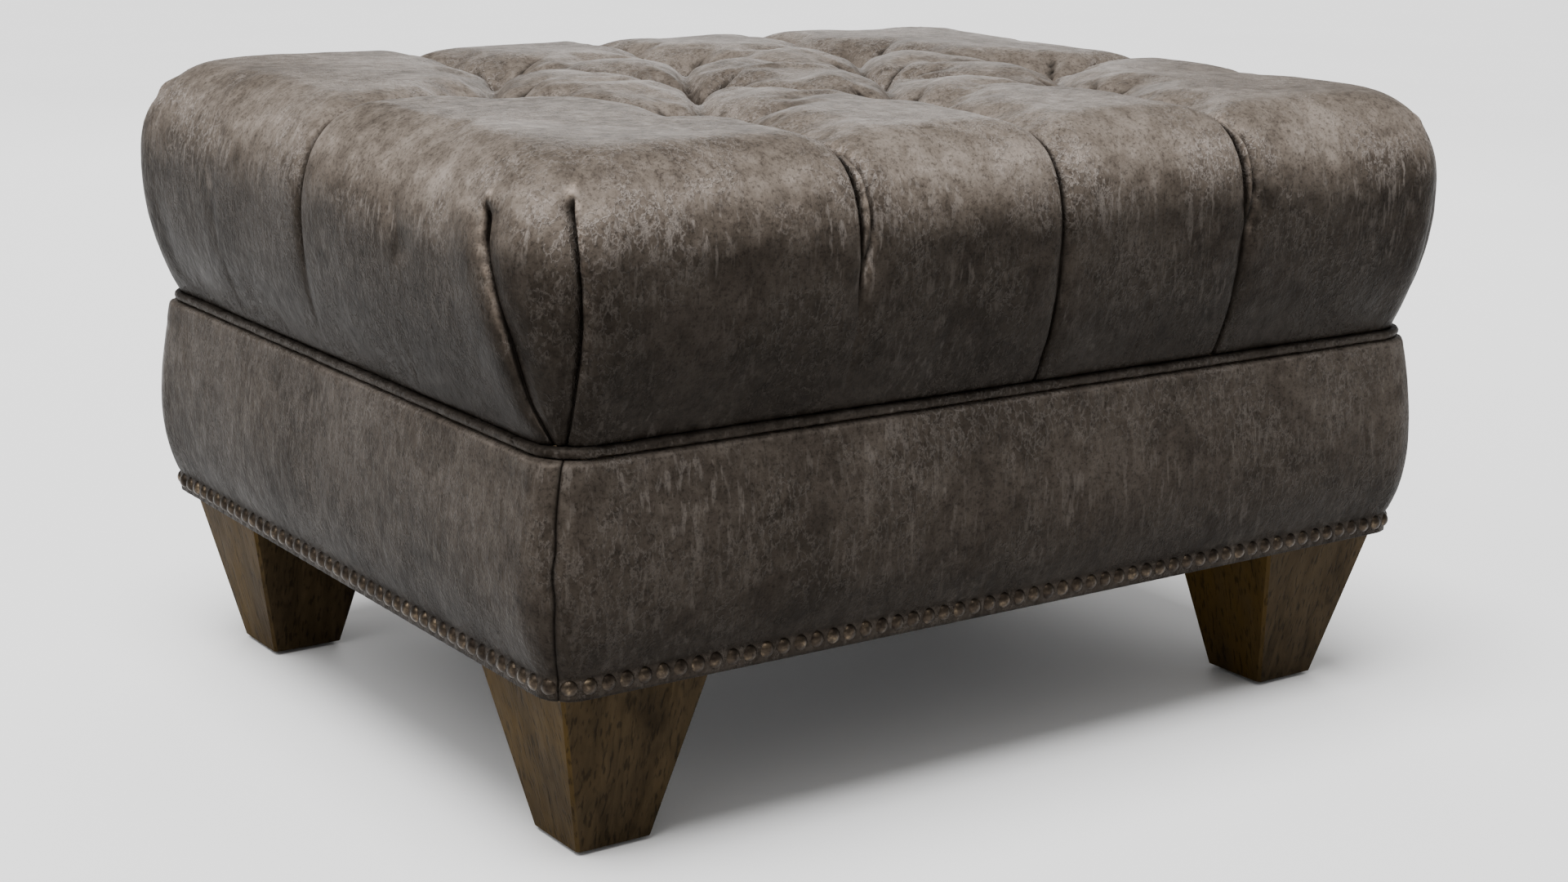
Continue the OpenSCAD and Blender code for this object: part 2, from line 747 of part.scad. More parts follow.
function place(c, lv, folded) = let(a = box_w / 2 + lv[0], b = box_d / 2 + lv[0], r = lv[2], q = r * PI / 4,
    near = long_fold(lv[1]), far = short_fold(lv[1]))
    c[0] == "x" ? [c[1], b, 0, 1] :
    c[0] == "y" ? [a, c[1], 1, 0] :
    c[0] == "to arc" ? [to_arc(3 * tuft_x + pit_rim, a - r, c[1]), b, 0, 1] :
    c[0] == "from arc" ? [a, to_arc(tuft_y + rim_y, folded ? min(b - r, b - r + q - far - 18) : b - r, c[1]), 1, 0] :
    outline(!folded ? c[1] / half * q : c[1] >= 0 ? mix(near, q, c[1] / half) : mix(near, -far, -c[1] / half),
        a, b, r);

// Depth of the pleats and folds in the side at a place on a level
function side_sag(p, lv) = let(a = box_w / 2 + lv[0], b = box_d / 2 + lv[0], r = lv[2], q = r * PI / 4,
    s = p[3] == 1 ? q + a - r - p[0] : p[2] == 1 ? p[1] - b + r - q : r * (45 - atan2(p[2], p[3])) * PI / 180,
    shut = clamp((fold_z + 12 - lv[1]) / 20, 0, 1) * mix(0.3, 1, clamp((lv[1] - cover_z) / 60, 0, 1)),
    near = long_fold(lv[1]), far = short_fold(lv[1]), off = min(abs(s - near), abs(s + far)),
    reach = min(fold_reach, 6 + max(6, (near + far) / 2)),
    pleat = p[3] == 1 ? max([for (x = pleats_x) pillow(abs(p[0] - x) / pleat_reach)]) :
        p[2] == 1 ? pillow(p[1] / pleat_reach) : 0)
    max(lv[4] * pleat, fold_depth * shut * pillow(off / reach));

function side_point(c, lv) = let(p = place(c, lv, true), g = side_sag(p, lv))
    [p[0] - g * sin(lv[3]) * p[2], p[1] - g * sin(lv[3]) * p[3], lv[1] - g * cos(lv[3])];

// A closed ring of points from one quarter's
function all_round(q) = let(n = len(q) - 1) concat(
    [for (k = [0:n - 1]) [q[k][0], -q[k][1], q[k][2]]],
    [for (k = [n:-1:1]) [q[k][0], q[k][1], q[k][2]]],
    [for (k = [0:n - 1]) [-q[k][0], q[k][1], q[k][2]]],
    [for (k = [n:-1:1]) [-q[k][0], -q[k][1], q[k][2]]]);

// The seat's net: square at first, then its border is pulled to the rounded top edge
top_ring = [for (c = columns) place(c, levels[0], false)];
function net_x(i) = i <= nx - half ? top_ring[i][0] : edge_x - edge_r * (1 - (i - nx + half) / half);
function net_y(j) = j <= ny - half ? top_ring[nx + ny - j][1] : edge_y - edge_r * (1 - (j - ny + half) / half);
function seat_xy(i, j) = let(x = net_x(i), y = net_y(j),
    u = pow(x / edge_x, edge_blend), v = pow(y / edge_y, edge_blend),
    f = [top_ring[i][0] - x, top_ring[i][1] - edge_y],
    s = [top_ring[nx + ny - j][0] - edge_x, top_ring[nx + ny - j][1] - y],
    c = [top_ring[nx][0] - edge_x, top_ring[nx][1] - edge_y])
    [x, y] + v * f + u * s - u * v * c;
function seat_point(i, j) = let(p = seat_xy(abs(i), abs(j)))
    [sign(i) * p[0], sign(j) * p[1], cover_height(p)];

seat_points = [for (i = [-nx:nx]) for (j = [-ny:ny]) seat_point(i, j)];
rings = [for (k = [1:len(levels) - 1]) all_round([for (c = columns) side_point(c, levels[k])])];
side_points = [for (r = rings) for (p = r) p];
around = 4 * (nx + ny);

function seat_index(i, j) = (i + nx) * (2 * ny + 1) + j + ny;
edge_ring = concat(
    [for (i = [0:nx - 1]) seat_index(i, -ny)], [for (j = [-ny:ny - 1]) seat_index(nx, j)],
    [for (i = [nx:-1:1 - nx]) seat_index(i, ny)], [for (j = [ny:-1:1 - ny]) seat_index(-nx, j)],
    [for (i = [-nx:-1]) seat_index(i, -ny)]);
function ring_index(row, k) = row == 0 ? edge_ring[k % around] :
    len(seat_points) + (row - 1) * around + k % around;

// Two triangles for a four sided cell, cut from a to c or from b to d
function halves(a, b, c, d, turned) = turned ? [[a, b, d], [b, c, d]] : [[a, b, c], [a, c, d]];
function crease_turns(i, j) = (abs(floor(i / cells)) % 2 == 0) != (j < 0);
seat_faces = [for (i = [-nx:nx - 1]) for (j = [-ny:ny - 1]) each halves(seat_index(i, j), seat_index(i, j + 1),
    seat_index(i + 1, j + 1), seat_index(i + 1, j), crease_turns(i, j))];
side_faces = [for (row = [0:len(rings) - 1]) for (k = [0:around - 1]) each halves(ring_index(row, k),
    ring_index(row, k + 1), ring_index(row + 1, k + 1), ring_index(row + 1, k), false)];
base_face = [for (k = [0:around - 1]) ring_index(len(rings), k)];

to_corner(-1, -1) leg();  // leg_front_left
to_corner(1, -1) leg();  // leg_front_right
to_corner(-1, 1) leg();  // leg_back_left
to_corner(1, 1) leg();  // leg_back_right
leg_glides();
hanger_bolts();
tee_nuts();
front_rail();
back_rail();
left_rail();
right_rail();
cross_rail(-1);  // cross_rail_left
cross_rail(1);  // cross_rail_right
to_corner(-1, -1) corner_block();  // block_front_left
to_corner(1, -1) corner_block();  // block_front_right
to_corner(-1, 1) corner_block();  // block_back_left
to_corner(1, 1) corner_block();  // block_back_right
frame_screws();
deck_board();
deck_screws();
dust_cover();
dust_cover_staples();
band_padding();
tack_strip();
band(0);  // front_band
band(1);  // right_band
band(2);  // back_band
band(3);  // left_band
nails(0);  // nails_front
nails(1);  // nails_right
nails(2);  // nails_back
nails(3);  // nails_left
welt_cord();
foam_core();
fibre_wrap();
tufted_cover();
tuft_buttons();
tufting_twine();
twine_washers();
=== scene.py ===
import math
import bmesh
import bpy
import numpy as np
from mathutils import Matrix, Vector


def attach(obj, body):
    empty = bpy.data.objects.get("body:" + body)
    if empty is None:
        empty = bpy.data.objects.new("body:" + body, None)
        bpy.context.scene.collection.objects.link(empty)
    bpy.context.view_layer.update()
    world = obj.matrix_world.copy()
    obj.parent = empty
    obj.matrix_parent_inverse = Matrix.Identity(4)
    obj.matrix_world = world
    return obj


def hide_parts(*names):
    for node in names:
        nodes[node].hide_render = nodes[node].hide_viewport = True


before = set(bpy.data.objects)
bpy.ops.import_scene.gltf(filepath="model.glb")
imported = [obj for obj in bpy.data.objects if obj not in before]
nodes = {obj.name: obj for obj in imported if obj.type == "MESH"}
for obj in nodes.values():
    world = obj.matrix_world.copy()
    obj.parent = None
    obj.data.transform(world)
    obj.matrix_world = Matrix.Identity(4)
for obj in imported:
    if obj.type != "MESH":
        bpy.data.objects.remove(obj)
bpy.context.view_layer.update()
MM = 0.001

# Sizes in millimetres. All but those of creases, pleats and folds are the same as the solids'.
BOX_W, BOX_D, BOX_R = 742.0, 594.0, 24.0
BULGE, WAIST, SHOULDER = 23.0, 2.0, 53.0
BULGE_R, EDGE_R, WELT_R = 58.0, 40.0, 30.0
COVER_Z, BULGE_Z, EDGE_Z, CROWN_Z = 279.6, 386.3, 452.3, 459.3
SIDE_POWER, SHOULDER_POWER, BLEND = 2.2, 2.2, 4
TUFT_X, TUFT_Y = 82.5, 143.5
PIT_DEPTH, CREASE_DEPTH, CREASE_REACH, FADE = 50.0, 15.0, 46.0, 24.0
PLEAT_TOP, PLEAT_SIDE, PLEAT_LOW = 14.0, 4.5, 2.2
PLEAT_REACH_TOP, PLEAT_REACH_SIDE, PLEAT_REACH_LOW = 34.0, 11.0, 6.5
FOLD_TOP_LONG, FOLD_TOP_SHORT, FOLD_MOUTH = 429.0, 420.5, 5.0
NAIL_Z, NAIL_PITCH, NAIL_END = 130.0, 13.2, 0.95
BAND_LOW_Z, BAND_TOP_Z = 121.6, 272.5
SWELL_Z, BAND_BULGE, BAND_TOP, SWELL_SKEW = 135.85, 12.5, 3.0, 0.756
WELT_X, WELT_Y, WELT_Z, WELT_D = 370.0, 296.0, 276.05, 6.5


# Noise and small helpers

# Factors that mix a cell's numbers with a seed and stir the mix, and the bits that are kept
MIX_X, MIX_Y, MIX_Z, MIX_SEED, STIR = 374761393, 668265263, 2147483647, 1274126177, 2246822519
WORD, FRACTION = 0xFFFFFFFF, 0xFFFFFF


def hash3(i, j, k, seed):
    """Number from 0 to 1 that depends on the cell i, j, k and on the seed."""
    h = (i * MIX_X + j * MIX_Y + k * MIX_Z + seed * MIX_SEED) & WORD
    h = ((h ^ (h >> 13)) * MIX_SEED) & WORD
    h = ((h ^ (h >> 16)) * STIR) & WORD
    return ((h ^ (h >> 15)) & FRACTION) / float(FRACTION)


def vnoise(p, scale, seed):
    """Value noise from -1 to 1 at points p (n x 3, mm). A cell's size is one number, or one for each axis."""
    q = p / np.asarray(scale, float)
    f = np.floor(q).astype(np.int64)
    t = q - f
    t = t * t * t * (t * (t * 6 - 15) + 10)
    out = 0
    for corner in np.ndindex(2, 2, 2):
        wx, wy, wz = np.where(corner, t, 1 - t).T
        out = out + wx * wy * wz * hash3(*(f + corner).T, seed)
    return out * 2 - 1


def smooth(a, b, x):
    """0 on a's side and 1 on b's, with a soft change between them. a may be the higher one."""
    t = np.clip((x - a) / (b - a), 0, 1)
    return t * t * (3 - 2 * t)


def toward(a, b, t):
    return a + (b - a) * t


def place_new(name, data):
    ob = bpy.data.objects.new(name, data)
    bpy.context.scene.collection.objects.link(ob)
    return ob


def make_mesh(name, verts_mm, faces, shade=True):
    """Mesh object from points in millimetres, shaded smooth unless shade is False."""
    me = bpy.data.meshes.new(name)
    points = [tuple(v) for v in np.asarray(verts_mm) * MM]
    me.from_pydata(points, [], [tuple(int(k) for k in f) for f in faces])
    me.validate()
    me.update()
    if shade:
        me.polygons.foreach_set("use_smooth", [True] * len(me.polygons))
    return place_new(name, me)


def apply_modifiers(ob):
    """Swaps an object's mesh for what its modifiers make of it."""
    dg = bpy.context.evaluated_depsgraph_get()
    me = bpy.data.meshes.new_from_object(ob.evaluated_get(dg), preserve_all_data_layers=True, depsgraph=dg)
    old = ob.data
    ob.modifiers.clear()
    ob.data = me
    bpy.data.meshes.remove(old)


def read(data, name, width=1):
    out = np.zeros(len(data) * width, np.float32)
    data.foreach_get(name, out)
    return out.reshape(-1, width).astype(float)


def get_co(ob):
    return read(ob.data.vertices, "co", 3) / MM


def set_co(ob, co_mm):
    ob.data.vertices.foreach_set("co", (np.asarray(co_mm) * MM).astype(np.float32).ravel())
    ob.data.update()


def set_values(ob, name, values):
    at = ob.data.attributes.new(name, "FLOAT", "POINT")
    at.data.foreach_set("value", np.asarray(values, np.float32))


def subdivide(ob):
    mod = ob.modifiers.new("subdivision", "SUBSURF")
    mod.levels = mod.render_levels = 1
    apply_modifiers(ob)


def thicken(ob, thickness):
    """Gives a skin its thickness, inwards, so that it is closed."""
    mod = ob.modifiers.new("thickness", "SOLIDIFY")
    mod.thickness = thickness * MM
    mod.offset = -1.0
    apply_modifiers(ob)


def piece(ob, slot, *stands_for):
    """Attaches a new piece to the one body and hides the CAD nodes that it stands for. The slot is not used.
    """
    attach(ob, "root")
    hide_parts(*stands_for)
    return ob


# Tufted cushion: creases and pits in the seat, pleats over its edge and folds at the corners

# Tuft pits: radius of the flat bottom, stretch from front to back, and reach
PIT_CORE, PIT_STRETCH, PIT_REACH = 11.5, 0.85, 48.0
# Creases: share of the wide form, then the sharp bottom's depth, gain at the tufts, reach and fading
CREASE_SHARE = 0.85
SHARP_DEPTH, SHARP_GAIN, SHARP_REACH, SHARP_FROM, SHARP_TO = 3.5, 7.0, 8.0, 30.0, 78.0
# Lines darkened as painted shade: half widths in creases, pleats and round the tufts, and the radius round a
# tuft that is fully darkened
LINE_CREASE, LINE_PLEAT, LINE_PIT, LINE_CORE = 3.2, 3.0, 6.0, 11.0
# Short pleats at each tuft: ways in degrees and how far these vary, least length and most gain
SHORT_WAYS, SHORT_SPREAD, SHORT_LENGTH, SHORT_MORE = (26, 90, 154, 206, 270, 334), 26, 40.0, 24.0
# Their depth, where they begin and are full, and their waver and its wave
SHORT_DEPTH, SHORT_START, SHORT_FULL, SHORT_WAVER, SHORT_WAVE = 10.0, 8.0, 14.0, 2.5, 14.0

# Tufts of one quarter, the pairs of them that creases join, and all ten tufts
TUFTS = [(TUFT_X, 0.0), (3 * TUFT_X, 0.0), (0.0, TUFT_Y), (2 * TUFT_X, TUFT_Y)]
CREASES = [(0, 2), (0, 3), (1, 3)]
ALL_TUFTS = ([(x * TUFT_X, 0.0) for x in (-3, -1, 1, 3)]
             + [(x * TUFT_X, y * TUFT_Y) for x in (-2, 0, 2) for y in (-1, 1)])


def pillow(q):
    """1 at a line and 0 at its reach, round above and steep at the line, as stuffed leather rises."""
    q = np.clip(q, 0, 1)
    return 1 - np.sqrt(np.maximum(0, 1 - (1 - q) ** 2))


def deepening(e, depth):
    """Depth of a crease or pleat at a distance e from its tuft, where it is as deep as the pit."""
    return depth + (PIT_DEPTH - depth) * np.exp(-np.maximum(e - 12, 0) / FADE)


def seat_sag(x, y):
    """Depth that tufts, creases and pleats take off the seat, and a mask that is 1 along their bottoms."""
    x, y = np.abs(x), np.abs(y)
    out, line = [], []
    for a, b in CREASES:
        (ax, ay), (bx, by) = TUFTS[a], TUFTS[b]
        ln = math.hypot(bx - ax, by - ay)
        ux, uy = (bx - ax) / ln, (by - ay) / ln
        t = np.clip((x - ax) * ux + (y - ay) * uy, 0, ln)
        d = np.hypot(x - ax - t * ux, y - ay - t * uy)
        end = np.minimum(t, ln - t)
        near = 1 - smooth(SHARP_FROM, SHARP_TO, end)
        wide = CREASE_SHARE * deepening(end, CREASE_DEPTH) * pillow(d / CREASE_REACH)
        out.append(wide + (SHARP_DEPTH + SHARP_GAIN * near) * pillow(d / SHARP_REACH))
        line.append(np.exp(-(d / LINE_CREASE) ** 2) * (0.55 + 0.45 * near))
    for tx, ty in TUFTS:
        d = np.hypot(x - tx, (y - ty) * PIT_STRETCH)
        out.append(PIT_DEPTH * pillow(np.maximum(d - PIT_CORE, 0) / PIT_REACH))
        line.append(np.exp(-np.maximum(d - LINE_CORE, 0) / LINE_PIT))
    for across, along in ((x, y - TUFT_Y), (x - 2 * TUFT_X, y - TUFT_Y), (y, x - 3 * TUFT_X)):
        d = np.hypot(across, np.minimum(along, 0))
        out.append(deepening(along, PLEAT_TOP) * pillow(d / PLEAT_REACH_TOP))
        line.append(np.exp(-d / LINE_PLEAT))
    return np.max(out, axis=0), np.max(line, axis=0)


def short_pleats(x, y):
    """The short sharp pleats between the creases at each tuft: their depth and their mask."""
    groove, line = np.zeros(x.shape), np.zeros(x.shape)
    for k, (tx, ty) in enumerate(ALL_TUFTS):
        for n, way in enumerate(SHORT_WAYS):
            way = math.radians(way + SHORT_SPREAD * (hash3(k, n, 1, 7) - 0.5))
            length = SHORT_LENGTH + SHORT_MORE * hash3(k, n, 2, 7)
            ux, uy = math.cos(way), math.sin(way)
            t = (x - tx) * ux + (y - ty) * uy
            d = (x - tx) * uy - (y - ty) * ux + SHORT_WAVER * np.sin(t / SHORT_WAVE + k + n)
            along = smooth(SHORT_START, SHORT_FULL, t) * (1 - smooth(0.7 * length, length + 8, t))
            reach = 6 + 0.1 * np.maximum(t, 0)
            steep = np.where(d > 0, d, -0.6 * d)
            groove = np.maximum(groove, SHORT_DEPTH * along * pillow(steep / reach))
            line = np.maximum(line, np.exp(-(d / LINE_CREASE) ** 2) * along)
    return groove, line


def seat_height(x, y):
    """Height of the seat, and the mask of its lines."""
    u, v = x / (BOX_W / 2 + BULGE - SHOULDER), y / (BOX_D / 2 + BULGE - SHOULDER)
    sag, line = seat_sag(x, y)
    groove, sharp = short_pleats(x, y)
    sag, line = sag + groove, np.maximum(line, sharp)
    dome = (CROWN_Z - EDGE_Z) * (1 - np.clip(u * u, 0, 1)) * (1 - np.clip(v * v, 0, 1))
    return EDGE_Z + dome - sag, line


# Folds' distances from a corner's middle, at shares of the height from the cover's foot to FOLDS_Z
FOLDS_Z = 432.3
NEAR_FOLD = ((0, 3), (0.1, 7.5), (0.2, 11), (0.35, 15.5), (0.5, 18), (0.65, 18), (0.8, 15.5), (0.9, 12.5),
             (1, 8.5))
FAR_FOLD = ((0, 5), (0.17, 19), (0.42, 33), (0.6, 45), (0.78, 56), (0.9, 56), (1, 52))
# How far the cheek swells beside the near fold and the far one
NEAR_SWELL, FAR_SWELL = 0.8, 2.2
# Net columns of the folds, from the corner's column
NEAR_COLUMN, FAR_COLUMN = 2, 12


def fold_places(z):
    """Distances along the outline from a corner's middle to its near and its far fold."""
    t = (z - COVER_Z) / (FOLDS_Z - COVER_Z)
    return [float(np.interp(t, *zip(*fold))) for fold in (NEAR_FOLD, FAR_FOLD)]


def corner_folds(z, back):
    """The fold on the long side, then the one on the short side. Each has its column, the way to its cheek,
    its top, its distance and the cheek's swelling. The far fold is on the short side at the front, and on
    the long side at the back."""
    near, far = fold_places(z)
    folds = [(NEAR_COLUMN, FOLD_TOP_LONG, near, NEAR_SWELL), (FAR_COLUMN, FOLD_TOP_SHORT, far, FAR_SWELL)]
    if back:
        folds.reverse()
    return [(NX - way * column, way, *rest) for way, (column, *rest) in zip((1, -1), folds)]


def outline(s, a, b, r):
    """Point and outward way at a distance s from the corner's middle, on a rounded rectangle."""
    q = r * math.pi / 4
    if s > q:
        return a - r - (s - q), b, 0.0, 1.0
    if s < -q:
        return a, b - r - (-s - q), 1.0, 0.0
    t = math.pi / 4 - s / r
    return a - r + r * math.sin(t), b - r + r * math.cos(t), math.sin(t), math.cos(t)


# Net of the cushion: cells for a tuft spacing, on to the corner, round it and down the sides, all even
N_TUFT, N_MX, N_ARC, N_MY = 22, 14, 12, 18
SHOULDER_ROWS, SIDE_ROWS = 18, 20
CROWD = 0.6
NX = 3 * N_TUFT + N_MX + N_ARC // 2
NY = N_ARC // 2 + N_MY + N_TUFT


def crowd(t):
    """Moves net lines towards the tufts and pleats, which lie at whole t."""
    return t - CROWD * math.sin(2 * math.pi * t) / (2 * math.pi)


COLS = ([("x", TUFT_X * crowd(i / N_TUFT)) for i in range(3 * N_TUFT + 1)]
        + [("mx", i / N_MX) for i in range(1, N_MX)]
        + [("c", 1 - 2 * i / N_ARC) for i in range(N_ARC + 1)]
        + [("my", i / N_MY) for i in range(1, N_MY)]
        + [("y", TUFT_Y * crowd(i / N_TUFT)) for i in range(N_TUFT, -1, -1)])
# The columns between which the corner and its straight stretches lie
FIRST, LAST = 3 * N_TUFT, len(COLS) - 1 - N_TUFT


def levels():
    """Levels from the seat's edge down to the cover's foot. Each has how far out it lies, its height, the
    corner radius, the slope, and a pleat's depth and reach."""
    out = []
    for k in range(SHOULDER_ROWS + 1):
        f = math.pi / 2 * k / SHOULDER_ROWS
        s = math.sin(f) ** (2 / SHOULDER_POWER)
        c = 0.0 if k == SHOULDER_ROWS else math.cos(f) ** (2 / SHOULDER_POWER)
        t = (k / SHOULDER_ROWS) ** 0.8
        out.append((BULGE - SHOULDER * (1 - s), toward(BULGE_Z, EDGE_Z, c), toward(EDGE_R, BULGE_R, s), f,
                    toward(PLEAT_TOP, PLEAT_SIDE, t), toward(PLEAT_REACH_TOP, PLEAT_REACH_SIDE, t)))
    for k in range(1, SIDE_ROWS + 1):
        q = k / SIDE_ROWS
        s = q ** SIDE_POWER
        out.append((BULGE - (BULGE + WAIST) * s, toward(BULGE_Z, COVER_Z, q), toward(BULGE_R, WELT_R, s),
                    math.pi / 2, toward(PLEAT_SIDE, PLEAT_LOW, q),
                    toward(PLEAT_REACH_SIDE, PLEAT_REACH_LOW, q)))
    return out


# Net lines beside a fold: distances, depths, the gusset's shares, and the fold's depth, tuck and lip
CHEEK_LINES = (0.8, 3.0, 6.5, 12.0)
CHEEK_DEPTHS = (2.4, 0.7, 0.0, -0.3)
GUSSET_DEPTHS = (5.6, 3.4, 2.7)
GUSSET_SHARES = (0.08, 0.15, 0.24)
FOLD_DEPTH, FOLD_TUCK, LIP = 9.0, 2.4, 0.7
# A fold's depth at the cover's foot against its full depth, and how far up it becomes full
FOLD_LOW_SHARE, FOLD_LOW_RISE = 0.45, 80
# Loose pleats: lower end, the second line's depth, reach and distance, and the ridge between the lines
LOOSE_LOW, LOOSE_DEPTH, LOOSE_REACH, LOOSE_APART, LOOSE_RIDGE = 362.0, 7.0, 7.0, 8.5, 3.0
# Heights where the left outer and the end pleats fade out, and half width of a pleat's line of painted shade
FADE_LEFT_Z, FADE_END_Z, LINE_SIDE = 350, 345, 2.6
# Pinched spot over a fold: how far above its top, how far it stands out, its height and width
PINCH_UP, PINCH, PINCH_TALL, PINCH_WIDE = 5.0, 2.6, 5.0, 7.0


def gusset_lines(z):
    """Distances from a fold to the net lines inside its gusset, wider where the fold's mouth opens."""
    mouth = float(smooth(385, 418, z))
    return 1.5 + 1.8 * mouth, 3.6 + 2.0 * mouth, 8.0 + 2.0 * mouth


def place(i, level, row, back=False):
    """Point of column i on a level, its outward way and its distance from the corner's middle."""
    off, z, r = level[:3]
    a, b = BOX_W / 2 + off, BOX_D / 2 + off
    q = r * math.pi / 4
    kind, v = COLS[i]
    s = {"x": q + a - r - v, "y": -(q + b - r - v), "mx": q + (a - r - 3 * TUFT_X) * (1 - v),
         "my": -(q + (b - r - TUFT_Y) * v), "c": v * q}[kind]
    if FIRST < i < LAST and row > 0:
        (col_long, _, _, fa, _), (col_short, _, _, fb, _) = corner_folds(z, back)
        gap = [min(w, share * (fa + fb)) for w, share in zip(gusset_lines(z), GUSSET_SHARES)]
        beside = range(-len(gap), len(CHEEK_LINES) + 1)
        cols = [FIRST] + [col_long - j for j in beside[::-1]] + [col_short + j for j in beside] + [LAST]
        long_ways = [fa + w for w in CHEEK_LINES[::-1]] + [fa] + [fa - w for w in gap]
        short_ways = [-fb + w for w in gap[::-1]] + [-fb] + [-fb - w for w in CHEEK_LINES]
        ways = [q + a - r - 3 * TUFT_X] + long_ways + short_ways + [-(q + b - r - TUFT_Y)]
        s += (float(np.interp(i, cols, ways)) - s) * float(smooth(0, 6, float(row)))
    return (*outline(s, a, b, r), s)


def pleat_sag(d, level, ends_at=None, loose=0):
    """Depth and line mask of a side pleat at distance d from it. It may fade out at a height, and a loose
    one has a second line beside it, on the side that the sign of loose gives."""
    z, depth, reach = level[1], level[4], level[5]
    hold = 1.0 if ends_at is None else 1 - 0.9 * float(smooth(ends_at + 25, ends_at - 15, z))
    g, m = hold * depth * float(pillow(abs(d) / reach)), hold * math.exp(-abs(d) / LINE_SIDE)
    if loose:
        d *= loose
        beside = LOOSE_APART * float(smooth(LOOSE_LOW, LOOSE_LOW + 45, z))
        beside *= 1 - 0.5 * float(smooth(430, 448, z))
        there = float(smooth(LOOSE_LOW, LOOSE_LOW + 14, z)) * (1 - float(smooth(440, 451, z)))
        e = d - beside
        g += there * LOOSE_DEPTH * float(pillow((e if e > 0 else -e * 1.6) / LOOSE_REACH))
        g -= there * LOOSE_RIDGE * math.exp(-((d - beside / 2) / 2.8) ** 2)
        m = max(m, there * math.exp(-abs(e) / 2.0))
    return g, m


def fold_sag(i, s, z, back):
    """Depth of the two folds at a corner, how far a net line is tucked sideways, and the line mask."""
    g = m = tuck = 0.0
    folds = corner_folds(z, back)
    full = toward(FOLD_LOW_SHARE, 1, float(smooth(COVER_Z, COVER_Z + FOLD_LOW_RISE, z)))
    for col, way, top, distance, swelling in folds:
        shut = float(smooth(top, top - FOLD_MOUTH, z)) * full
        j = (col - i) * way
        d = s * way - distance
        if 0 < j <= 4:
            g += shut * CHEEK_DEPTHS[j - 1]
            if j == 1:
                tuck -= way * shut * LIP
        elif j == 0:
            g += shut * FOLD_DEPTH
            tuck += way * shut * FOLD_TUCK
            m = max(m, min(1.0, 2.5 * shut))
        elif -3 <= j < 0:
            g += shut * GUSSET_DEPTHS[-j - 1]
        elif j < -3 and folds[0][0] < i < folds[1][0]:
            g = max(g, shut * GUSSET_DEPTHS[2] * float(pillow(0.15 + 0.85 * (-j - 3) / 9)))
        if abs(j) == 1:
            m = max(m, 0.45 * min(1.0, 2.5 * shut))
        g -= PINCH * math.exp(-((z - top - PINCH_UP) / PINCH_TALL) ** 2) * math.exp(-(d / PINCH_WIDE) ** 2)
        if j > 0:
            g -= swelling * shut * math.exp(-((d - 20) / 13) ** 2)
    return g, tuck, m


def side_sag(i, x, y, s, level, quadrant):
    """Depth of pleats and folds in the side, how far net lines are tucked sideways, and the line mask."""
    sx, sy = quadrant
    if FIRST < i < LAST:
        return fold_sag(i, s, level[1], sy > 0)
    if i >= LAST:
        g, m = pleat_sag(y, level, FADE_END_Z)
    else:
        outer = pleat_sag(x - 2 * TUFT_X, level, FADE_LEFT_Z if sx < 0 else None, sx if sy < 0 else 0)
        g, m = max(pleat_sag(x, level), outer)
    return g, 0.0, m


def lip_mask(i, x, z, quadrant):
    """1 on the edges that stand out beside folds and loose pleats, which are lightened partly as rubbed wear
    and partly as painted highlight, and on the pinched spot over each fold, which is lightened as painted
    highlight.
    """
    for col, way, top, _, _ in corner_folds(z, quadrant[1] > 0):
        if abs(col - i) <= 1 and z > top:
            return math.exp(-((z - top - PINCH_UP) / 6) ** 2)
        if 0 < (col - i) * way <= 2:
            return float(smooth(top + 8, top - 6, z) * smooth(300, 400, z))
    if i <= FIRST and quadrant[1] < 0:
        d = (x - 2 * TUFT_X) * quadrant[0]
        return float(np.exp(-((d - 5) / 3) ** 2) * smooth(355, 375, z) * (1 - smooth(446, 458, z)))
    return 0.0


QUARTERS = ((1, -1), (1, 1), (-1, 1), (-1, -1))


def side_ring(row, level):
    """Points of a ring round the sides, from the middle front, and their masks of lines and lips."""
    z, slope = level[1], level[3]
    ring = []
    for sx, sy in QUARTERS:
        quarter = []
        for i in range(len(COLS)):
            x, y, nx, ny, s = place(i, level, row, sy > 0)
            g, tuck, m = side_sag(i, x, y, s, level, (sx, sy))
            flat, up = g * math.sin(slope), g * math.cos(slope)
            px, py = x - flat * nx - tuck * ny, y - flat * ny + tuck * nx
            quarter.append((sx * px, sy * py, z - up, m, lip_mask(i, x, z, (sx, sy))))
        # A quarter runs from the middle of a long side, so every second one is joined on backwards
        ring += quarter[:-1] if sx * sy < 0 else quarter[:0:-1]
    ring = np.array(ring)
    return ring[:, :3], ring[:, 3], ring[:, 4]


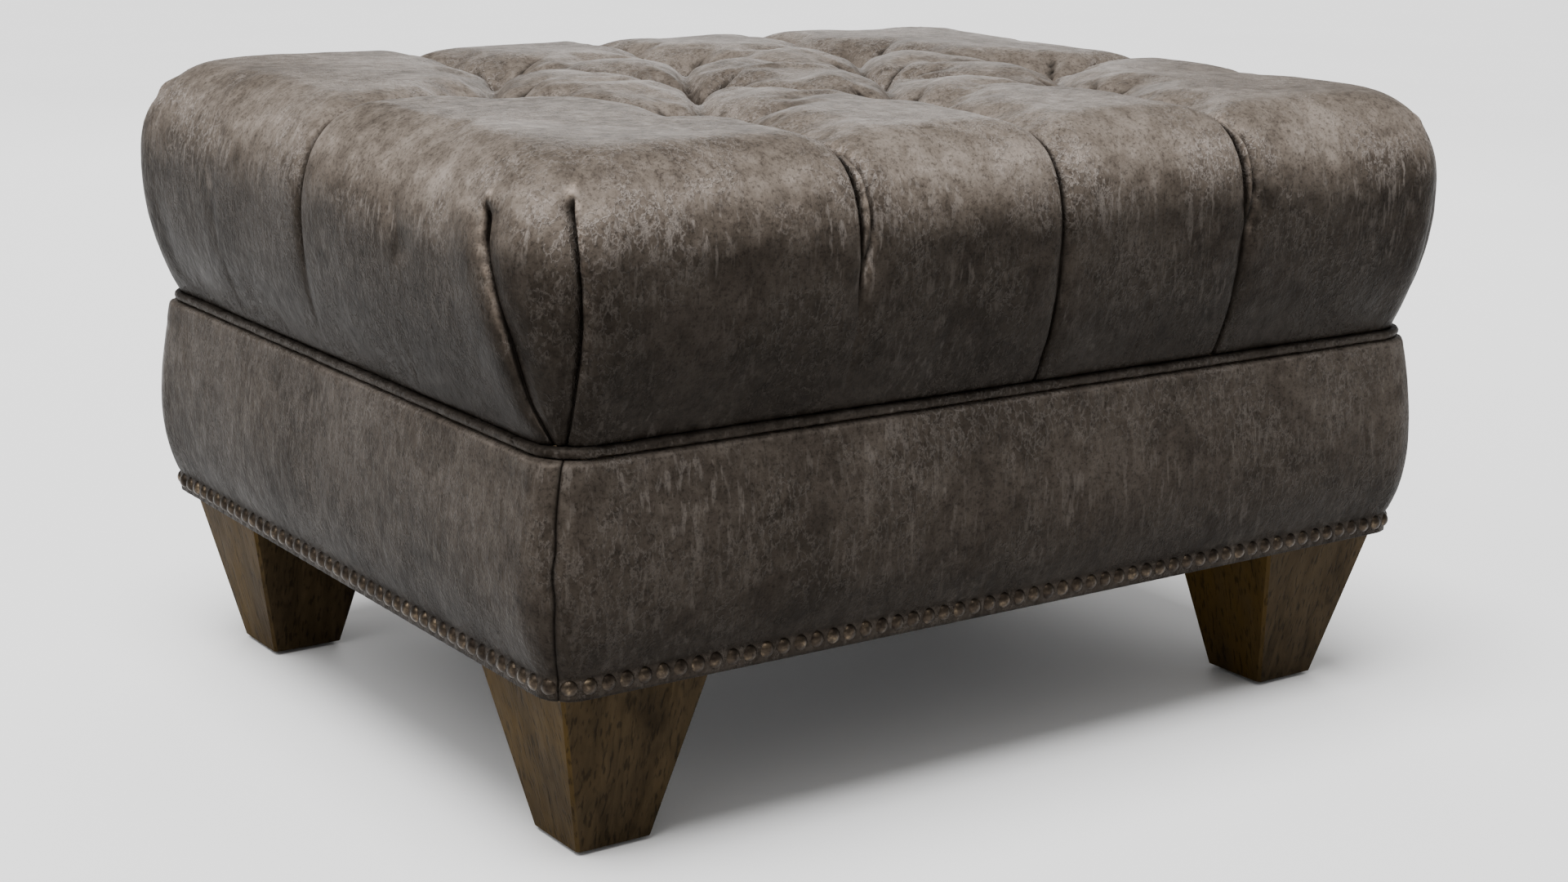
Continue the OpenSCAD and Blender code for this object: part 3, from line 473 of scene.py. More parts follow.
def cushion_net():
    """The seat as a grid of points, the rings down the sides, and the masks of lines and lips."""
    lv = levels()
    top = np.array([place(i, lv[0], 0) for i in range(len(COLS))])
    long_side, short_side = top[:NX + 1], top[NX:][::-1]
    ea, eb = BOX_W / 2 + lv[0][0], BOX_D / 2 + lv[0][0]
    h = N_ARC // 2
    corner = EDGE_R * np.arange(1, h + 1) / h
    xs = np.append(long_side[:NX - h + 1, 0], ea - EDGE_R + corner)
    ys = np.append(short_side[:NY - h + 1, 1], eb - EDGE_R + corner)
    # How far the rounded border lies from a straight one, which the grid takes up towards it
    bx, by = long_side[:, 0] - xs, long_side[:, 1] - eb
    sx, sy = short_side[:, 0] - ea, short_side[:, 1] - ys
    ii, jj = np.meshgrid(np.arange(-NX, NX + 1), np.arange(-NY, NY + 1), indexing="ij")
    ai, aj = np.abs(ii), np.abs(jj)
    x, y = xs[ai], ys[aj]
    u, v = (x / ea) ** BLEND, (y / eb) ** BLEND
    px = x + v * bx[ai] + u * sx[aj] - u * v * bx[NX]
    py = y + v * by[ai] + u * sy[aj] - u * v * by[NX]
    px, py = px * np.sign(ii), py * np.sign(jj)
    pz, line = seat_height(px, py)
    seat = np.stack([px, py, pz], -1)
    rings, masks, lips = zip(*(side_ring(row, level) for row, level in enumerate(lv[1:], 1)))
    return seat, line, list(rings), list(masks), list(lips)


# How far the rings that turn the cover in under its foot lie inside it
RIM_INSETS = (0.8, 8.0, 30.0)


def walk(nx, ny):
    """Steps round the border of a grid that reaches nx and ny from its middle, from the middle front."""
    return ([(i, -ny) for i in range(0, nx)] + [(nx, j) for j in range(-ny, ny)]
            + [(i, ny) for i in range(nx, -nx, -1)] + [(-nx, j) for j in range(ny, -ny, -1)]
            + [(i, -ny) for i in range(-nx, 0)])


def net_mesh(name, seat, rings):
    """A mesh of the seat, the rings and a turned in rim under them."""
    nx, ny = (seat.shape[0] - 1) // 2, (seat.shape[1] - 1) // 2
    width = 2 * ny + 1

    def idx(i, j):
        return (i + nx) * width + j + ny

    faces = [(idx(i, j), idx(i + 1, j), idx(i + 1, j + 1), idx(i, j + 1))
             for i in range(-nx, nx) for j in range(-ny, ny)]
    ring = [idx(i, j) for i, j in walk(nx, ny)]
    base = []
    for inset in RIM_INSETS:
        turned = rings[-1].copy()
        turned[:, 0] *= 1 - inset / (BOX_W / 2)
        turned[:, 1] *= 1 - inset / (BOX_D / 2)
        turned[:, 2] = COVER_Z
        base.append(turned)
    points = [seat.reshape(-1, 3)]
    count, around = len(points[0]), len(ring)
    for r in rings + base:
        new = list(range(count, count + around))
        faces += [(new[k], new[(k + 1) % around], ring[(k + 1) % around], ring[k]) for k in range(around)]
        points.append(r)
        ring = new
        count += around
    return make_mesh(name, np.vstack(points), faces)


def close_base(ob):
    """Closes the hole under the cushion."""
    bm = bmesh.new()
    bm.from_mesh(ob.data)
    bmesh.ops.holes_fill(bm, edges=bm.edges, sides=0)
    bm.to_mesh(ob.data)
    bm.free()


# Frames of the cloth, and the height over the cover's foot in which the hold on it fades
FRAMES, HELD_RISE = 20, 12
# How far the cloth may move a point of the seat and of the sides, and the share of its move that counts
CAP_SEAT, CAP_SIDE, SHARE_SEAT, SHARE_SIDE = 3.5, 1.2, 0.6, 0.25


def simulate(seat, line, rings, masks):
    """Blows the cushion up as cloth that is held at its tufts, creases, pleats and lower edge, on every
    second line of the net. Returns how far the points of the seat and of the rings move."""
    ob = net_mesh("cushion_cloth", seat[::2, ::2], [r[::2] for r in rings[1::2]])
    mask = np.concatenate([line[::2, ::2].ravel()] + [m[::2] for m in masks[1::2]])
    before = get_co(ob)
    pin = np.ones(len(before))
    low = np.clip(1 - (before[:len(mask), 2] - COVER_Z) / HELD_RISE, 0, 1)
    pin[:len(mask)] = np.maximum(np.clip((mask - 0.3) / 0.4, 0, 1), low)
    group = ob.vertex_groups.new(name="held")
    for i in np.nonzero(pin > 0.001)[0]:
        group.add([int(i)], float(pin[i]), "REPLACE")
    mod = ob.modifiers.new("cloth", "CLOTH")
    cloth = mod.settings
    cloth.quality = 5
    cloth.mass = 0.3
    cloth.tension_stiffness = cloth.compression_stiffness = 15
    cloth.shear_stiffness = 5
    cloth.bending_stiffness = 0.5
    cloth.use_pressure = True
    cloth.uniform_pressure_force = 4
    cloth.vertex_group_mass = "held"
    cloth.pin_stiffness = 1
    cloth.shrink_min = -0.03
    cloth.effector_weights.gravity = 0
    mod.collision_settings.use_collision = False
    for f in range(1, FRAMES + 1):
        bpy.context.scene.frame_set(f)
    apply_modifiers(ob)
    moved = get_co(ob) - before
    bpy.context.scene.frame_set(1)
    bpy.data.objects.remove(ob)
    shape = seat[::2, ::2].shape
    count = shape[0] * shape[1]
    grid = moved[:count].reshape(shape)
    around = len(rings[0][::2])
    ring_moves = [moved[count + k * around: count + (k + 1) * around] for k in range(len(rings[1::2]))]
    return fill_lines(fill_lines(grid, 0), 1), fill_rings(ring_moves, grid)


def fill_lines(grid, axis):
    """Puts a line halfway between every two lines of a grid."""
    g = np.moveaxis(grid, axis, 0)
    out = np.zeros((2 * len(g) - 1,) + g.shape[1:])
    out[::2] = g
    out[1::2] = (g[:-1] + g[1:]) / 2
    return np.moveaxis(out, 0, axis)


def fill_rings(ring_moves, grid):
    """Puts a point between every two of each ring, and a ring between every two, from the border on."""
    nx, ny = (grid.shape[0] - 1) // 2, (grid.shape[1] - 1) // 2
    border = [grid[i + nx, j + ny] for i, j in walk(nx, ny)]
    closed = np.array([[*ring, ring[0]] for ring in [border] + ring_moves])
    return list(fill_lines(fill_lines(closed, 1), 0)[1:, :-1])


def capped(moves, cap, share):
    """A share of the moves, none longer than the cap."""
    n = np.linalg.norm(moves, axis=-1, keepdims=True)
    return moves * share * np.minimum(1, cap / np.maximum(n * share, 1e-6))


def build_cushion():
    """The cover: net, cloth, one subdivision, base and wrinkles."""
    seat, line, rings, masks, lips = cushion_net()
    seat_moves, ring_moves = simulate(seat, line, rings, masks)
    seat = seat + capped(seat_moves, CAP_SEAT, SHARE_SEAT)
    for k in range(len(rings)):
        t = min(1.0, k / SHOULDER_ROWS)
        share = toward(SHARE_SEAT, SHARE_SIDE, t)
        rings[k] = rings[k] + capped(ring_moves[k], toward(CAP_SEAT, CAP_SIDE, t), share)
    ob = net_mesh("cushion_cover", seat, rings)
    mask = np.concatenate([line.ravel()] + masks)
    rim = np.zeros(len(ob.data.vertices) - len(mask))
    set_values(ob, "line", np.concatenate([mask, rim]))
    set_values(ob, "lip", np.concatenate([np.zeros(line.size)] + lips + [rim]))
    subdivide(ob)
    close_base(ob)
    wrinkle_cushion(ob)
    piece(ob, "cushion_leather", "tufted_cover")
    return ob


# Rise of the ripples at the tufts, the puckers over the welt, slow swells, dents and fine creases
RIPPLE_RISE, PUCKER_RISE, SWELL_RISE, DENT_RISE, CREASE_RISE = 1.5, 0.8, 1.3, 0.35, 0.22
# Extra depth along the bottoms of creases and pleats
LINE_DEPTH = 1.6


def wrinkle_cushion(ob):
    """Ripples round the tufts, puckers along the lower edge, slow swells and fine creases."""
    p, n = get_co(ob), read(ob.data.vertices, "normal", 3)
    line = read(ob.data.attributes["line"].data, "value")[:, 0]
    side = smooth(0.5, 0.9, 1 - np.abs(n[:, 2]))
    free = 1 - smooth(0.3, 0.8, line)
    lift = np.zeros(len(p))
    for k, (tx, ty) in enumerate(ALL_TUFTS):
        dx, dy = p[:, 0] - tx, (p[:, 1] - ty) * PIT_STRETCH
        d, ang = np.hypot(dx, dy), np.arctan2(dy, dx)
        ripple = np.cos(ang * 9 + 1.7 * k + 0.6 * np.sin(ang * 2 + k))
        lift += RIPPLE_RISE * ripple * smooth(11, 19, d) * (1 - smooth(26, 50, d)) * (1 - side)
    z = p[:, 2]
    pucker = vnoise(p, (9, 9, 60), 5) + 0.6 * vnoise(p, (17, 17, 60), 6)
    lift += PUCKER_RISE * pucker * (1 - smooth(COVER_Z + 2, COVER_Z + 26, z)) * side
    lift += SWELL_RISE * vnoise(p, (70, 70, 95), 11) * free
    lift += DENT_RISE * vnoise(p, (22, 22, 34), 12) * free
    crease = 1 - np.abs(vnoise(p + 5 * vnoise(p, 30, 14)[:, None], (7, 7, 16), 13))
    patches = 0.3 + 0.7 * smooth(-0.2, 0.5, vnoise(p, 90, 15))
    lift += CREASE_RISE * smooth(0.75, 1, crease) * free * patches
    lift -= LINE_DEPTH * smooth(0.55, 1, line)
    keep = smooth(COVER_Z - 1, COVER_Z + 4, z)
    set_co(ob, p + n * (lift * keep)[:, None])


# Padded band: a leather panel on each side, drawn in by the nails and sewn to the next at the corners

# Where the swelling ends, the face's last height, and how far the ends pass the seam and turn in
SWELL_TOP_Z, FACE_TOP_Z, PAST_SEAM, TURN_IN = 271.0, 268.0, 0.6, 5.0
# Outward and upward steps of the top edge's roll under the welt, and of the turned in lower edge
TOP_ROLL = ((-0.6, 1.6), (-2.0, 3.0), (-5.0, 4.0), (-10.0, 4.2))
LOW_ROLL = ((-2.0, 6.0), (-1.9, 0.3), (-1.0, -0.5))
# The leather's thickness, the net's step, and the corner seam's lean, waver and dark half width
BAND_LEATHER, BAND_STEP, SEAM_LEAN, SEAM_WAVER, SEAM_LINE = 0.7, 3.3, 3.2, 0.7, 1.3


def swell(z):
    """How far the band stands out at a height."""
    q = np.clip((z - SWELL_Z) / (SWELL_TOP_Z - SWELL_Z), 0, 1)
    return BAND_TOP * q + (BAND_BULGE - BAND_TOP * 0.4) * np.sin(np.pi * q ** SWELL_SKEW)


def nail_marks(side):
    """Places of the nails along a side, and of the first ones round its corners."""
    run = side - 2 * BOX_R - 2 * NAIL_END
    steps = math.ceil(run / NAIL_PITCH)
    end = side / 2 - BOX_R + NAIL_PITCH - NAIL_END
    return np.array([-end] + [run * (i / steps - 0.5) for i in range(steps + 1)] + [end])


# Rise of a panel's slow waves, dents and fine creases, and how far apart the panels' noise lies
PANEL_WAVE, PANEL_DENT, PANEL_CREASE, PANELS_APART = 1.1, 0.3, 0.16, 900
# The leather's rise between nails, the dimple over each nail, and their half widths
NAIL_RISE, NAIL_RISE_WIDTH, NAIL_DIMPLE, NAIL_DIMPLE_WIDTH = 1.0, 3.4, 0.5, 3.0
# Gathers under the welt and at the corners, and the corner seam's depth and the roll beside it
WELT_GATHER, CORNER_GATHER, SEAM_DEPTH, SEAM_ROLL = 0.45, 1.6, 1.0, 0.6


def panel_relief(k, length, pp, zz, to_seam):
    """How far panel k stands out at distances pp along it and at heights zz. A noise call has the size of its
    cells along the panel, across and up, and a seed."""
    flat = np.stack([pp + PANELS_APART * k, np.zeros(zz.shape), zz], -1).reshape(-1, 3)

    def noise(scale, seed):
        return vnoise(flat, scale, seed).reshape(pp.shape)

    # Towards the seams the panels calm down, so that neighbours meet and cover the padding
    calm = 1 - np.exp(-to_seam / 9)
    middle = smooth(SWELL_Z, SWELL_Z + 35, zz) * (1 - smooth(255, 270, zz)) * calm
    off = swell(zz)
    off = off + PANEL_WAVE * noise((85, 1, 60), 21) * middle + PANEL_DENT * noise((24, 1, 40), 22) * middle
    off = off + PANEL_CREASE * smooth(0.7, 1, 1 - np.abs(noise((8, 1, 22), 23))) * middle
    # Between the nails the leather stands out, above them it is drawn into short dimples
    to_nail = np.min(np.abs(pp[..., None] - nail_marks(length)), axis=-1)
    between = 1 - np.exp(-(to_nail / NAIL_RISE_WIDTH) ** 2)
    off = off + NAIL_RISE * between * np.exp(-((zz - NAIL_Z) / 7.5) ** 2)
    above = smooth(NAIL_Z + 4, NAIL_Z + 8, zz) * (1 - smooth(NAIL_Z + 10, NAIL_Z + 26, zz))
    off = off - NAIL_DIMPLE * np.exp(-(to_nail / NAIL_DIMPLE_WIDTH) ** 2) * above
    # Gathers under the welt, then a seam at each corner with a roll and gathers beside it
    off = off + WELT_GATHER * noise((10, 1, 60), 24) * smooth(248, 266, zz) * calm
    off = off - SEAM_DEPTH * np.exp(-to_seam / 1.5) + SEAM_ROLL * np.exp(-((to_seam - 6) / 3) ** 2)
    off[[0, -1]] -= TURN_IN
    gathers = noise((26, 1, 7), 25) * np.exp(-to_seam / 16) * smooth(236, 262, zz)
    return off + CORNER_GATHER * gathers * calm


def band_panel(name, k, node):
    """Panel of side k, counted from the front anticlockwise: a skin that is given its thickness last."""
    length, gap = (BOX_W, BOX_D) if k % 2 == 0 else (BOX_D, BOX_W)
    half = length / 2 - BOX_R
    arc = BOX_R * math.pi / 4
    seam = half + arc
    bend = np.append(half + arc * np.linspace(0, 1, 14) ** 0.7, seam + PAST_SEAM)
    p = np.concatenate([-bend[::-1], np.linspace(-half, half, int(length / BAND_STEP))[1:-1], bend])
    z = np.concatenate([np.linspace(BAND_LOW_Z, SWELL_Z, 8), np.linspace(SWELL_Z, FACE_TOP_Z, 40)[1:]])
    pp, zz = np.meshgrid(p, z, indexing="ij")
    over = np.maximum(np.abs(p) - half, 0) / BOX_R
    to_seam = np.maximum(seam - np.abs(p), 0)
    off = panel_relief(k, length, pp, zz, to_seam[:, None])
    rows = [(off[:, 0] + dx, np.full(len(p), BAND_LOW_Z + dz)) for dx, dz in LOW_ROLL]
    rows += [(off[:, j], np.full(len(p), z[j])) for j in range(len(z))]
    rows += [(off[:, -1] + dx, np.full(len(p), FACE_TOP_Z + dz)) for dx, dz in TOP_ROLL]
    x = np.clip(p, -half, half)
    verts = []
    for o, h in rows:
        # The seams lean over a little and waver
        waver = SEAM_WAVER * vnoise(np.outer(h, (1, 0, 0)), 17, 26)
        lean = SEAM_LEAN * np.exp(-(BAND_TOP_Z - h) / 13) + waver
        turn = np.sign(p) * over + lean / BOX_R * np.exp(-to_seam / 7) * (np.abs(p) > half)
        y = -(gap / 2 - BOX_R) - (BOX_R + o) * np.cos(turn)
        verts.append(np.stack([x + (BOX_R + o) * np.sin(turn), y, h], -1))
    c, s = math.cos(math.pi / 2 * k), math.sin(math.pi / 2 * k)
    verts = np.array(verts) @ np.array([[c, s, 0], [-s, c, 0], [0, 0, 1]])
    n = len(p)
    faces = [(j * n + i, j * n + i + 1, (j + 1) * n + i + 1, (j + 1) * n + i)
             for j in range(len(rows) - 1) for i in range(n - 1)]
    ob = make_mesh(name, verts.reshape(-1, 3), faces)
    set_values(ob, "line", np.exp(-np.tile(to_seam, len(rows)) / SEAM_LINE))
    thicken(ob, BAND_LEATHER)
    return piece(ob, "band_leather", node)


# Welt: a leather covered cord with a slanting join near one corner

# Steps along the welt and round its tube
WELT_STEP, WELT_SIDES = 3.0, 15
# Its section: the tube's first and last angle in degrees, the flange's width, lower and upper height
TUBE_FROM, TUBE_TO, FLANGE, FLANGE_LOW, FLANGE_HIGH = 96, -205, 14.0, 3.3, 3.5
# The join on the left side: its place, slant, half width and depth
JOIN_Y, JOIN_SLANT, JOIN_WIDTH, JOIN_DEPTH = -WELT_Y + 44, 5.0, 1.1, 0.9
# The cord's fine and slow unevenness, and how far apart the noise of its lines lies
WELT_FINE, WELT_SLOW, LINES_APART = 0.28, 0.25, 7.0


def rounded_path(w, d, r, step):
    """Points and outward ways round a rounded rectangle of half sizes w and d, from the front left corner."""
    out = []
    for k in range(4):
        length, gap = (w, d) if k % 2 == 0 else (d, w)
        run, turn = int(2 * (length - r) / step), max(6, int(r * math.pi / 2 / (step * 0.6)))
        parts = [(t, 0.0) for t in np.linspace(-(length - r), length - r, run, endpoint=False)]
        parts += [(length - r, a) for a in np.linspace(0, math.pi / 2, turn, endpoint=False)]
        c, s = math.cos(math.pi / 2 * k), math.sin(math.pi / 2 * k)
        for x, a in parts:
            px, py = x + r * math.sin(a), -(gap - r) - r * math.cos(a)
            nx, ny = math.sin(a), -math.cos(a)
            out.append((px * c - py * s, px * s + py * c, nx * c - ny * s, nx * s + ny * c))
    return np.array(out)


def build_welt():
    """The tube with the flange by which it is sewn in, as one closed section swept round."""
    path = rounded_path(WELT_X, WELT_Y, WELT_R, WELT_STEP)
    n = len(path)
    ang = np.radians(np.linspace(TUBE_FROM, TUBE_TO, WELT_SIDES))
    along = np.concatenate([[0], np.cumsum(np.hypot(*np.diff(path[:, :2], axis=0).T))])
    sections, masks = [], []
    for j, a in enumerate(ang):
        q = np.stack([along, np.full(n, LINES_APART * j), np.zeros(n)], -1)
        to_join = np.abs(path[:, 1] - JOIN_Y - JOIN_SLANT * math.sin(a))
        m = np.where(path[:, 0] < 0, np.exp(-(to_join / JOIN_WIDTH) ** 2), 0.0)
        uneven = WELT_FINE * vnoise(q, (5, 9, 9), 31) + WELT_SLOW * vnoise(q, (26, 30, 9), 32)
        r = WELT_D / 2 + uneven - JOIN_DEPTH * m
        sections.append(np.stack([r * math.cos(a), r * math.sin(a)], -1))
        masks.append(m)
    # The flange gets the line mask all along, so it is darkened as painted shade between the welt and the
    # leather round it
    for up in (FLANGE_LOW, FLANGE_HIGH):
        sections.append(np.tile([-FLANGE, up], (n, 1)))
        masks.append(np.ones(n))
    sides = len(sections)
    sections = np.array(sections).transpose(1, 0, 2)
    verts = np.stack([path[:, :1] + path[:, 2:3] * sections[..., 0],
                      path[:, 1:2] + path[:, 3:4] * sections[..., 0], WELT_Z + sections[..., 1]], -1)
    faces = []
    for i in range(n):
        this, after = i * sides, (i + 1) % n * sides
        faces += [(this + j, this + (j + 1) % sides, after + (j + 1) % sides, after + j)
                  for j in range(sides)]
    ob = make_mesh("welt", verts.reshape(-1, 3), faces)
    set_values(ob, "line", np.array(masks).T.reshape(-1))
    return piece(ob, "welt_leather", "welt_cord")


# Materials

class Nodes:
    """Short calls to build a node material. A value that is a socket is linked, any other is set."""

    def __init__(self, name):
        self.mat = bpy.data.materials.new(name)
        self.mat.use_nodes = True
        self.tree = self.mat.node_tree
        self.bsdf = self.tree.nodes["Principled BSDF"]
        self.coord = self.add("TexCoord").outputs["Object"]

    def put(self, socket, value):
        if isinstance(value, bpy.types.NodeSocket):
            self.tree.links.new(value, socket)
        elif value is not None:
            socket.default_value = value

    def add(self, kind, **inputs):
        node = self.tree.nodes.new("ShaderNode" + kind)
        for name, value in inputs.items():
            self.put(node.inputs[name], value)
        return node

    def mapped(self, scale=(1, 1, 1), rotate=(0, 0, 0), vector=None):
        node = self.add("Mapping", Vector=vector or self.coord, Scale=scale, Rotation=rotate)
        return node.outputs["Vector"]

    def wavering(self, scale, amount):
        """Object coordinates that a noise moves about, by an amount in metres."""
        wobble = self.add("TexNoise", Vector=self.coord, Scale=scale).outputs["Color"]
        shift = self.add("VectorMath")
        shift.operation = "MULTIPLY_ADD"
        for socket, value in zip(shift.inputs, (wobble, (amount,) * 3, self.coord)):
            self.put(socket, value)
        return shift.outputs[0]

    def noise(self, vector, scale, detail, rough=0.55, distort=0.0):
        node = self.add("TexNoise", Vector=vector, Scale=scale, Detail=detail, Roughness=rough,
                        Distortion=distort)
        return node.outputs["Fac"]

    def voronoi(self, vector, scale):
        return self.add("TexVoronoi", Vector=vector, Scale=scale).outputs["Distance"]

    def ramp(self, value, *stops):
        """Ramp whose stops are pairs of a place and a grey or colour."""
        node = self.add("ValToRGB", Fac=value)
        elements = node.color_ramp.elements
        while len(elements) < len(stops):
            elements.new(0.5)
        for element, (at, color) in zip(elements, stops):
            element.position = at
            element.color = (color, color, color, 1) if isinstance(color, (int, float)) else (*color, 1)
        return node.outputs["Color"]

    def math(self, operation, a, b=None):
        node = self.add("Math")
        node.operation = operation
        self.put(node.inputs[0], a)
        self.put(node.inputs[1], b)
        return node.outputs[0]

    def times(self, a, b):
        return self.math("MULTIPLY", a, b)

    def plus(self, a, b):
        return self.math("ADD", a, b)

    def mix(self, share, a, b, mode="MIX"):
        """Mixes two colours, which are inputs 6 and 7 and output 2 of the node."""
        node = self.add("Mix")
        node.data_type = "RGBA"
        node.blend_type = mode
        self.put(node.inputs[0], share)
        for socket, color in ((node.inputs[6], a), (node.inputs[7], b)):
            self.put(socket, color if isinstance(color, bpy.types.NodeSocket) else (*color, 1))
        return node.outputs[2]

    def tint(self, a, b):
        return self.mix(1.0, a, b, "MULTIPLY")

    def attribute(self, name):
        node = self.add("Attribute")
        node.attribute_name = name
        return node.outputs["Fac"]

    def normal_part(self, axis):
        normal = self.add("NewGeometry").outputs["Normal"]
        return self.add("SeparateXYZ", Vector=normal).outputs[axis]

    def bump(self, height, distance, strength, normal=None):
        node = self.add("Bump", Height=height, Distance=distance, Strength=strength, Normal=normal)
        return node.outputs["Normal"]

    def finish(self, color, rough, normal=None, **fixed):
        for name, value in {"Base Color": color, "Roughness": rough, "Normal": normal, **fixed}.items():
            self.put(self.bsdf.inputs[name.replace("_", " ")], value)
        return self.mat


# Leather: scales of its noises in waves per metre
CLOUDS, MOTTLES, SPECKS, GRAIN = 9.0, 70.0, 400.0, 640.0
STREAKS, STREAK_PATCHES, CRINKLES, CRINKLE_PATCHES, FOLDS, LIP_PATCHES = 215.0, 15.0, 150.0, 13.0, 130.0, 160.0
WAVER_SCALE, WAVER_AMOUNT = 55.0, 0.008
# Its tones, before a piece's own shade, and what makes the pale marks from the light one
DARK, MID, LIGHT = (0.0155, 0.0122, 0.0095), (0.026, 0.0207, 0.0163), (0.04, 0.0327, 0.0265)
PALER = (1.95, 2.05, 2.2)
# Lines darkened against the dark tone, as painted shade in creases, pleats, folds and pits and under the welt
# and as dark joins at seams, and lips lightened against the tone round them, partly as rubbed wear and partly
# as painted highlight
LINE_SHADE, LIP_RUB_AND_HIGHLIGHT = 0.2, (1.75, 1.72, 1.7)
LEATHER_SHEEN = {"Specular_IOR_Level": 0.05, "Specular_Tint": (1.0, 0.84, 0.7, 1.0)}


def scaled(color, k):
    return tuple(c * k for c in color)


def leather_streaks(m, up):
    """Pale streaks in patches, which run down the sides and fade where the leather faces up."""
    streaks = m.noise(m.mapped((1, 1, 0.2), (0.28, -0.3, 0)), STREAKS, 3, 0.6, 0.3)
    patches = m.ramp(m.noise(m.mapped((1, 1, 0.7)), STREAK_PATCHES, 3, 0.6), (0.44, 0.08), (0.6, 1.0))
    streaks = m.times(m.ramp(streaks, (0.53, 0.0), (0.63, 0.9)), patches)
    return m.times(streaks, m.ramp(up, (0.2, 1.0), (0.6, 0.12)))


def leather_crinkles(m, bent):
    """Thin crinkled lines in patches."""
    noise = m.noise(m.mapped((1, 1, 0.6), vector=bent), CRINKLES, 3, 0.6)
    crinkle = m.math("ABSOLUTE", m.math("SUBTRACT", noise, 0.5))
    patches = m.ramp(m.noise(m.mapped(), CRINKLE_PATCHES, 3, 0.6), (0.46, 0.0), (0.56, 1.0))
    return m.times(m.ramp(crinkle, (0.0, 1.0), (0.055, 0.0)), patches)


def leather_painted_light(m, color, crest, low):
    """Paints light and shade by where the leather faces: painted shade where it faces down, low times as
    bright, and a painted highlight over the upper edge, palest there and a little cooler as a painted sheen,
    where it is crest times as bright."""
    facing = m.plus(m.times(m.normal_part("Z"), 0.5), 0.5)
    top = 1.1 * crest
    stops = ((0.36, low, (1, 1, 1)), (0.5, 1, (1, 1, 1)), (0.64, 1 + 0.42 * (crest - 1), (1, 1.02, 1.05)),
             (0.78, crest, (1, 1.04, 1.1)), (0.95, 0.74 * crest, (1, 1.03, 1.07)))
    painted_light_ramp = m.ramp(facing, *((at, tuple(k * c / top for c in tint)) for at, k, tint in stops))
    return m.tint(m.tint(color, painted_light_ramp), (top,) * 3)


def leather_lines(m, color, dark):
    """Darkens the bottoms of creases, pleats, folds and tuft pits and the welt's flange as painted shade, and
    seams and the welt's join as dark joins. Lightens the lips beside folds and loose pleats, partly as rubbed
    wear and partly as painted highlight, and the pinched spots over the folds as painted highlight.
    """
    # Painted shade along the lines of creases, pleats, folds and pits and on the welt's flange; at seams and
    # the welt's join the same darkening is a dark join
    deep = m.ramp(m.attribute("line"), (0.2, 0.0), (0.85, 1.0))
    color = m.mix(m.times(deep, 0.92), color, scaled(dark, LINE_SHADE))
    # Patches of the lips' lightening, partly rubbed wear and partly painted highlight
    rubbed = m.ramp(m.noise(m.mapped(), LIP_PATCHES, 2, 0.6), (0.38, 0.0), (0.56, 1.0))
    lip = m.times(m.attribute("lip"), rubbed)
    return m.mix(lip, color, m.tint(color, LIP_RUB_AND_HIGHLIGHT))


def leather(name, shade, lines=True, crest=1.0, low=1.0, marked=0.75):
    """Distressed pull-up leather: mottled tones, pale marks, dark specks, a fine grain and soft folds, with
    painted light and shade by where it faces and along its lines.
    """
    dark, mid, light = (scaled(tone, shade) for tone in (DARK, MID, LIGHT))
    m = Nodes(name)
    even = m.mapped()
    bent = m.wavering(WAVER_SCALE, WAVER_AMOUNT)
    up = m.math("MAXIMUM", m.normal_part("Z"), 0.0)
    tone = m.plus(m.times(m.noise(even, CLOUDS, 2, 0.6, 0.4), 0.4),
                  m.times(m.noise(even, MOTTLES, 4, 0.68, 0.3), 0.6))
    color = m.ramp(tone, (0.38, dark), (0.5, mid), (0.64, light))
    crinkle = leather_crinkles(m, bent)
    marks = m.math("MAXIMUM", leather_streaks(m, up), m.times(crinkle, 0.85))
    marks = m.times(marks, m.ramp(up, (0.3, marked), (0.65, 0.35)))
    color = m.mix(marks, color, tuple(c * k for c, k in zip(light, PALER)))
    specks = m.ramp(m.noise(even, SPECKS, 2, 0.7), (0.32, 0.55), (0.5, 1.0))
    color = m.tint(color, specks)
    # Painted light and shade: brighter and a little cooler over the upper edge, darker where the leather
    # faces down
    color = leather_painted_light(m, color, crest, low)
    if lines:
        color = leather_lines(m, color, dark)
    rough = m.ramp(tone, (0.35, 0.5), (0.65, 0.38))
    folds = m.noise(m.mapped((1, 1, 0.7), vector=bent), FOLDS, 3, 0.6)
    height = m.plus(m.times(folds, 0.7), m.times(crinkle, 0.4))
    normal = m.bump(m.voronoi(even, GRAIN), 0.0005, 0.25)
    normal = m.bump(height, 0.0022, 0.7, normal)
    return m.finish(color, rough, normal, **LEATHER_SHEEN)


WOOD_SHEEN = {"Specular_IOR_Level": 0.06, "Specular_Tint": (1.0, 0.82, 0.55, 1.0)}


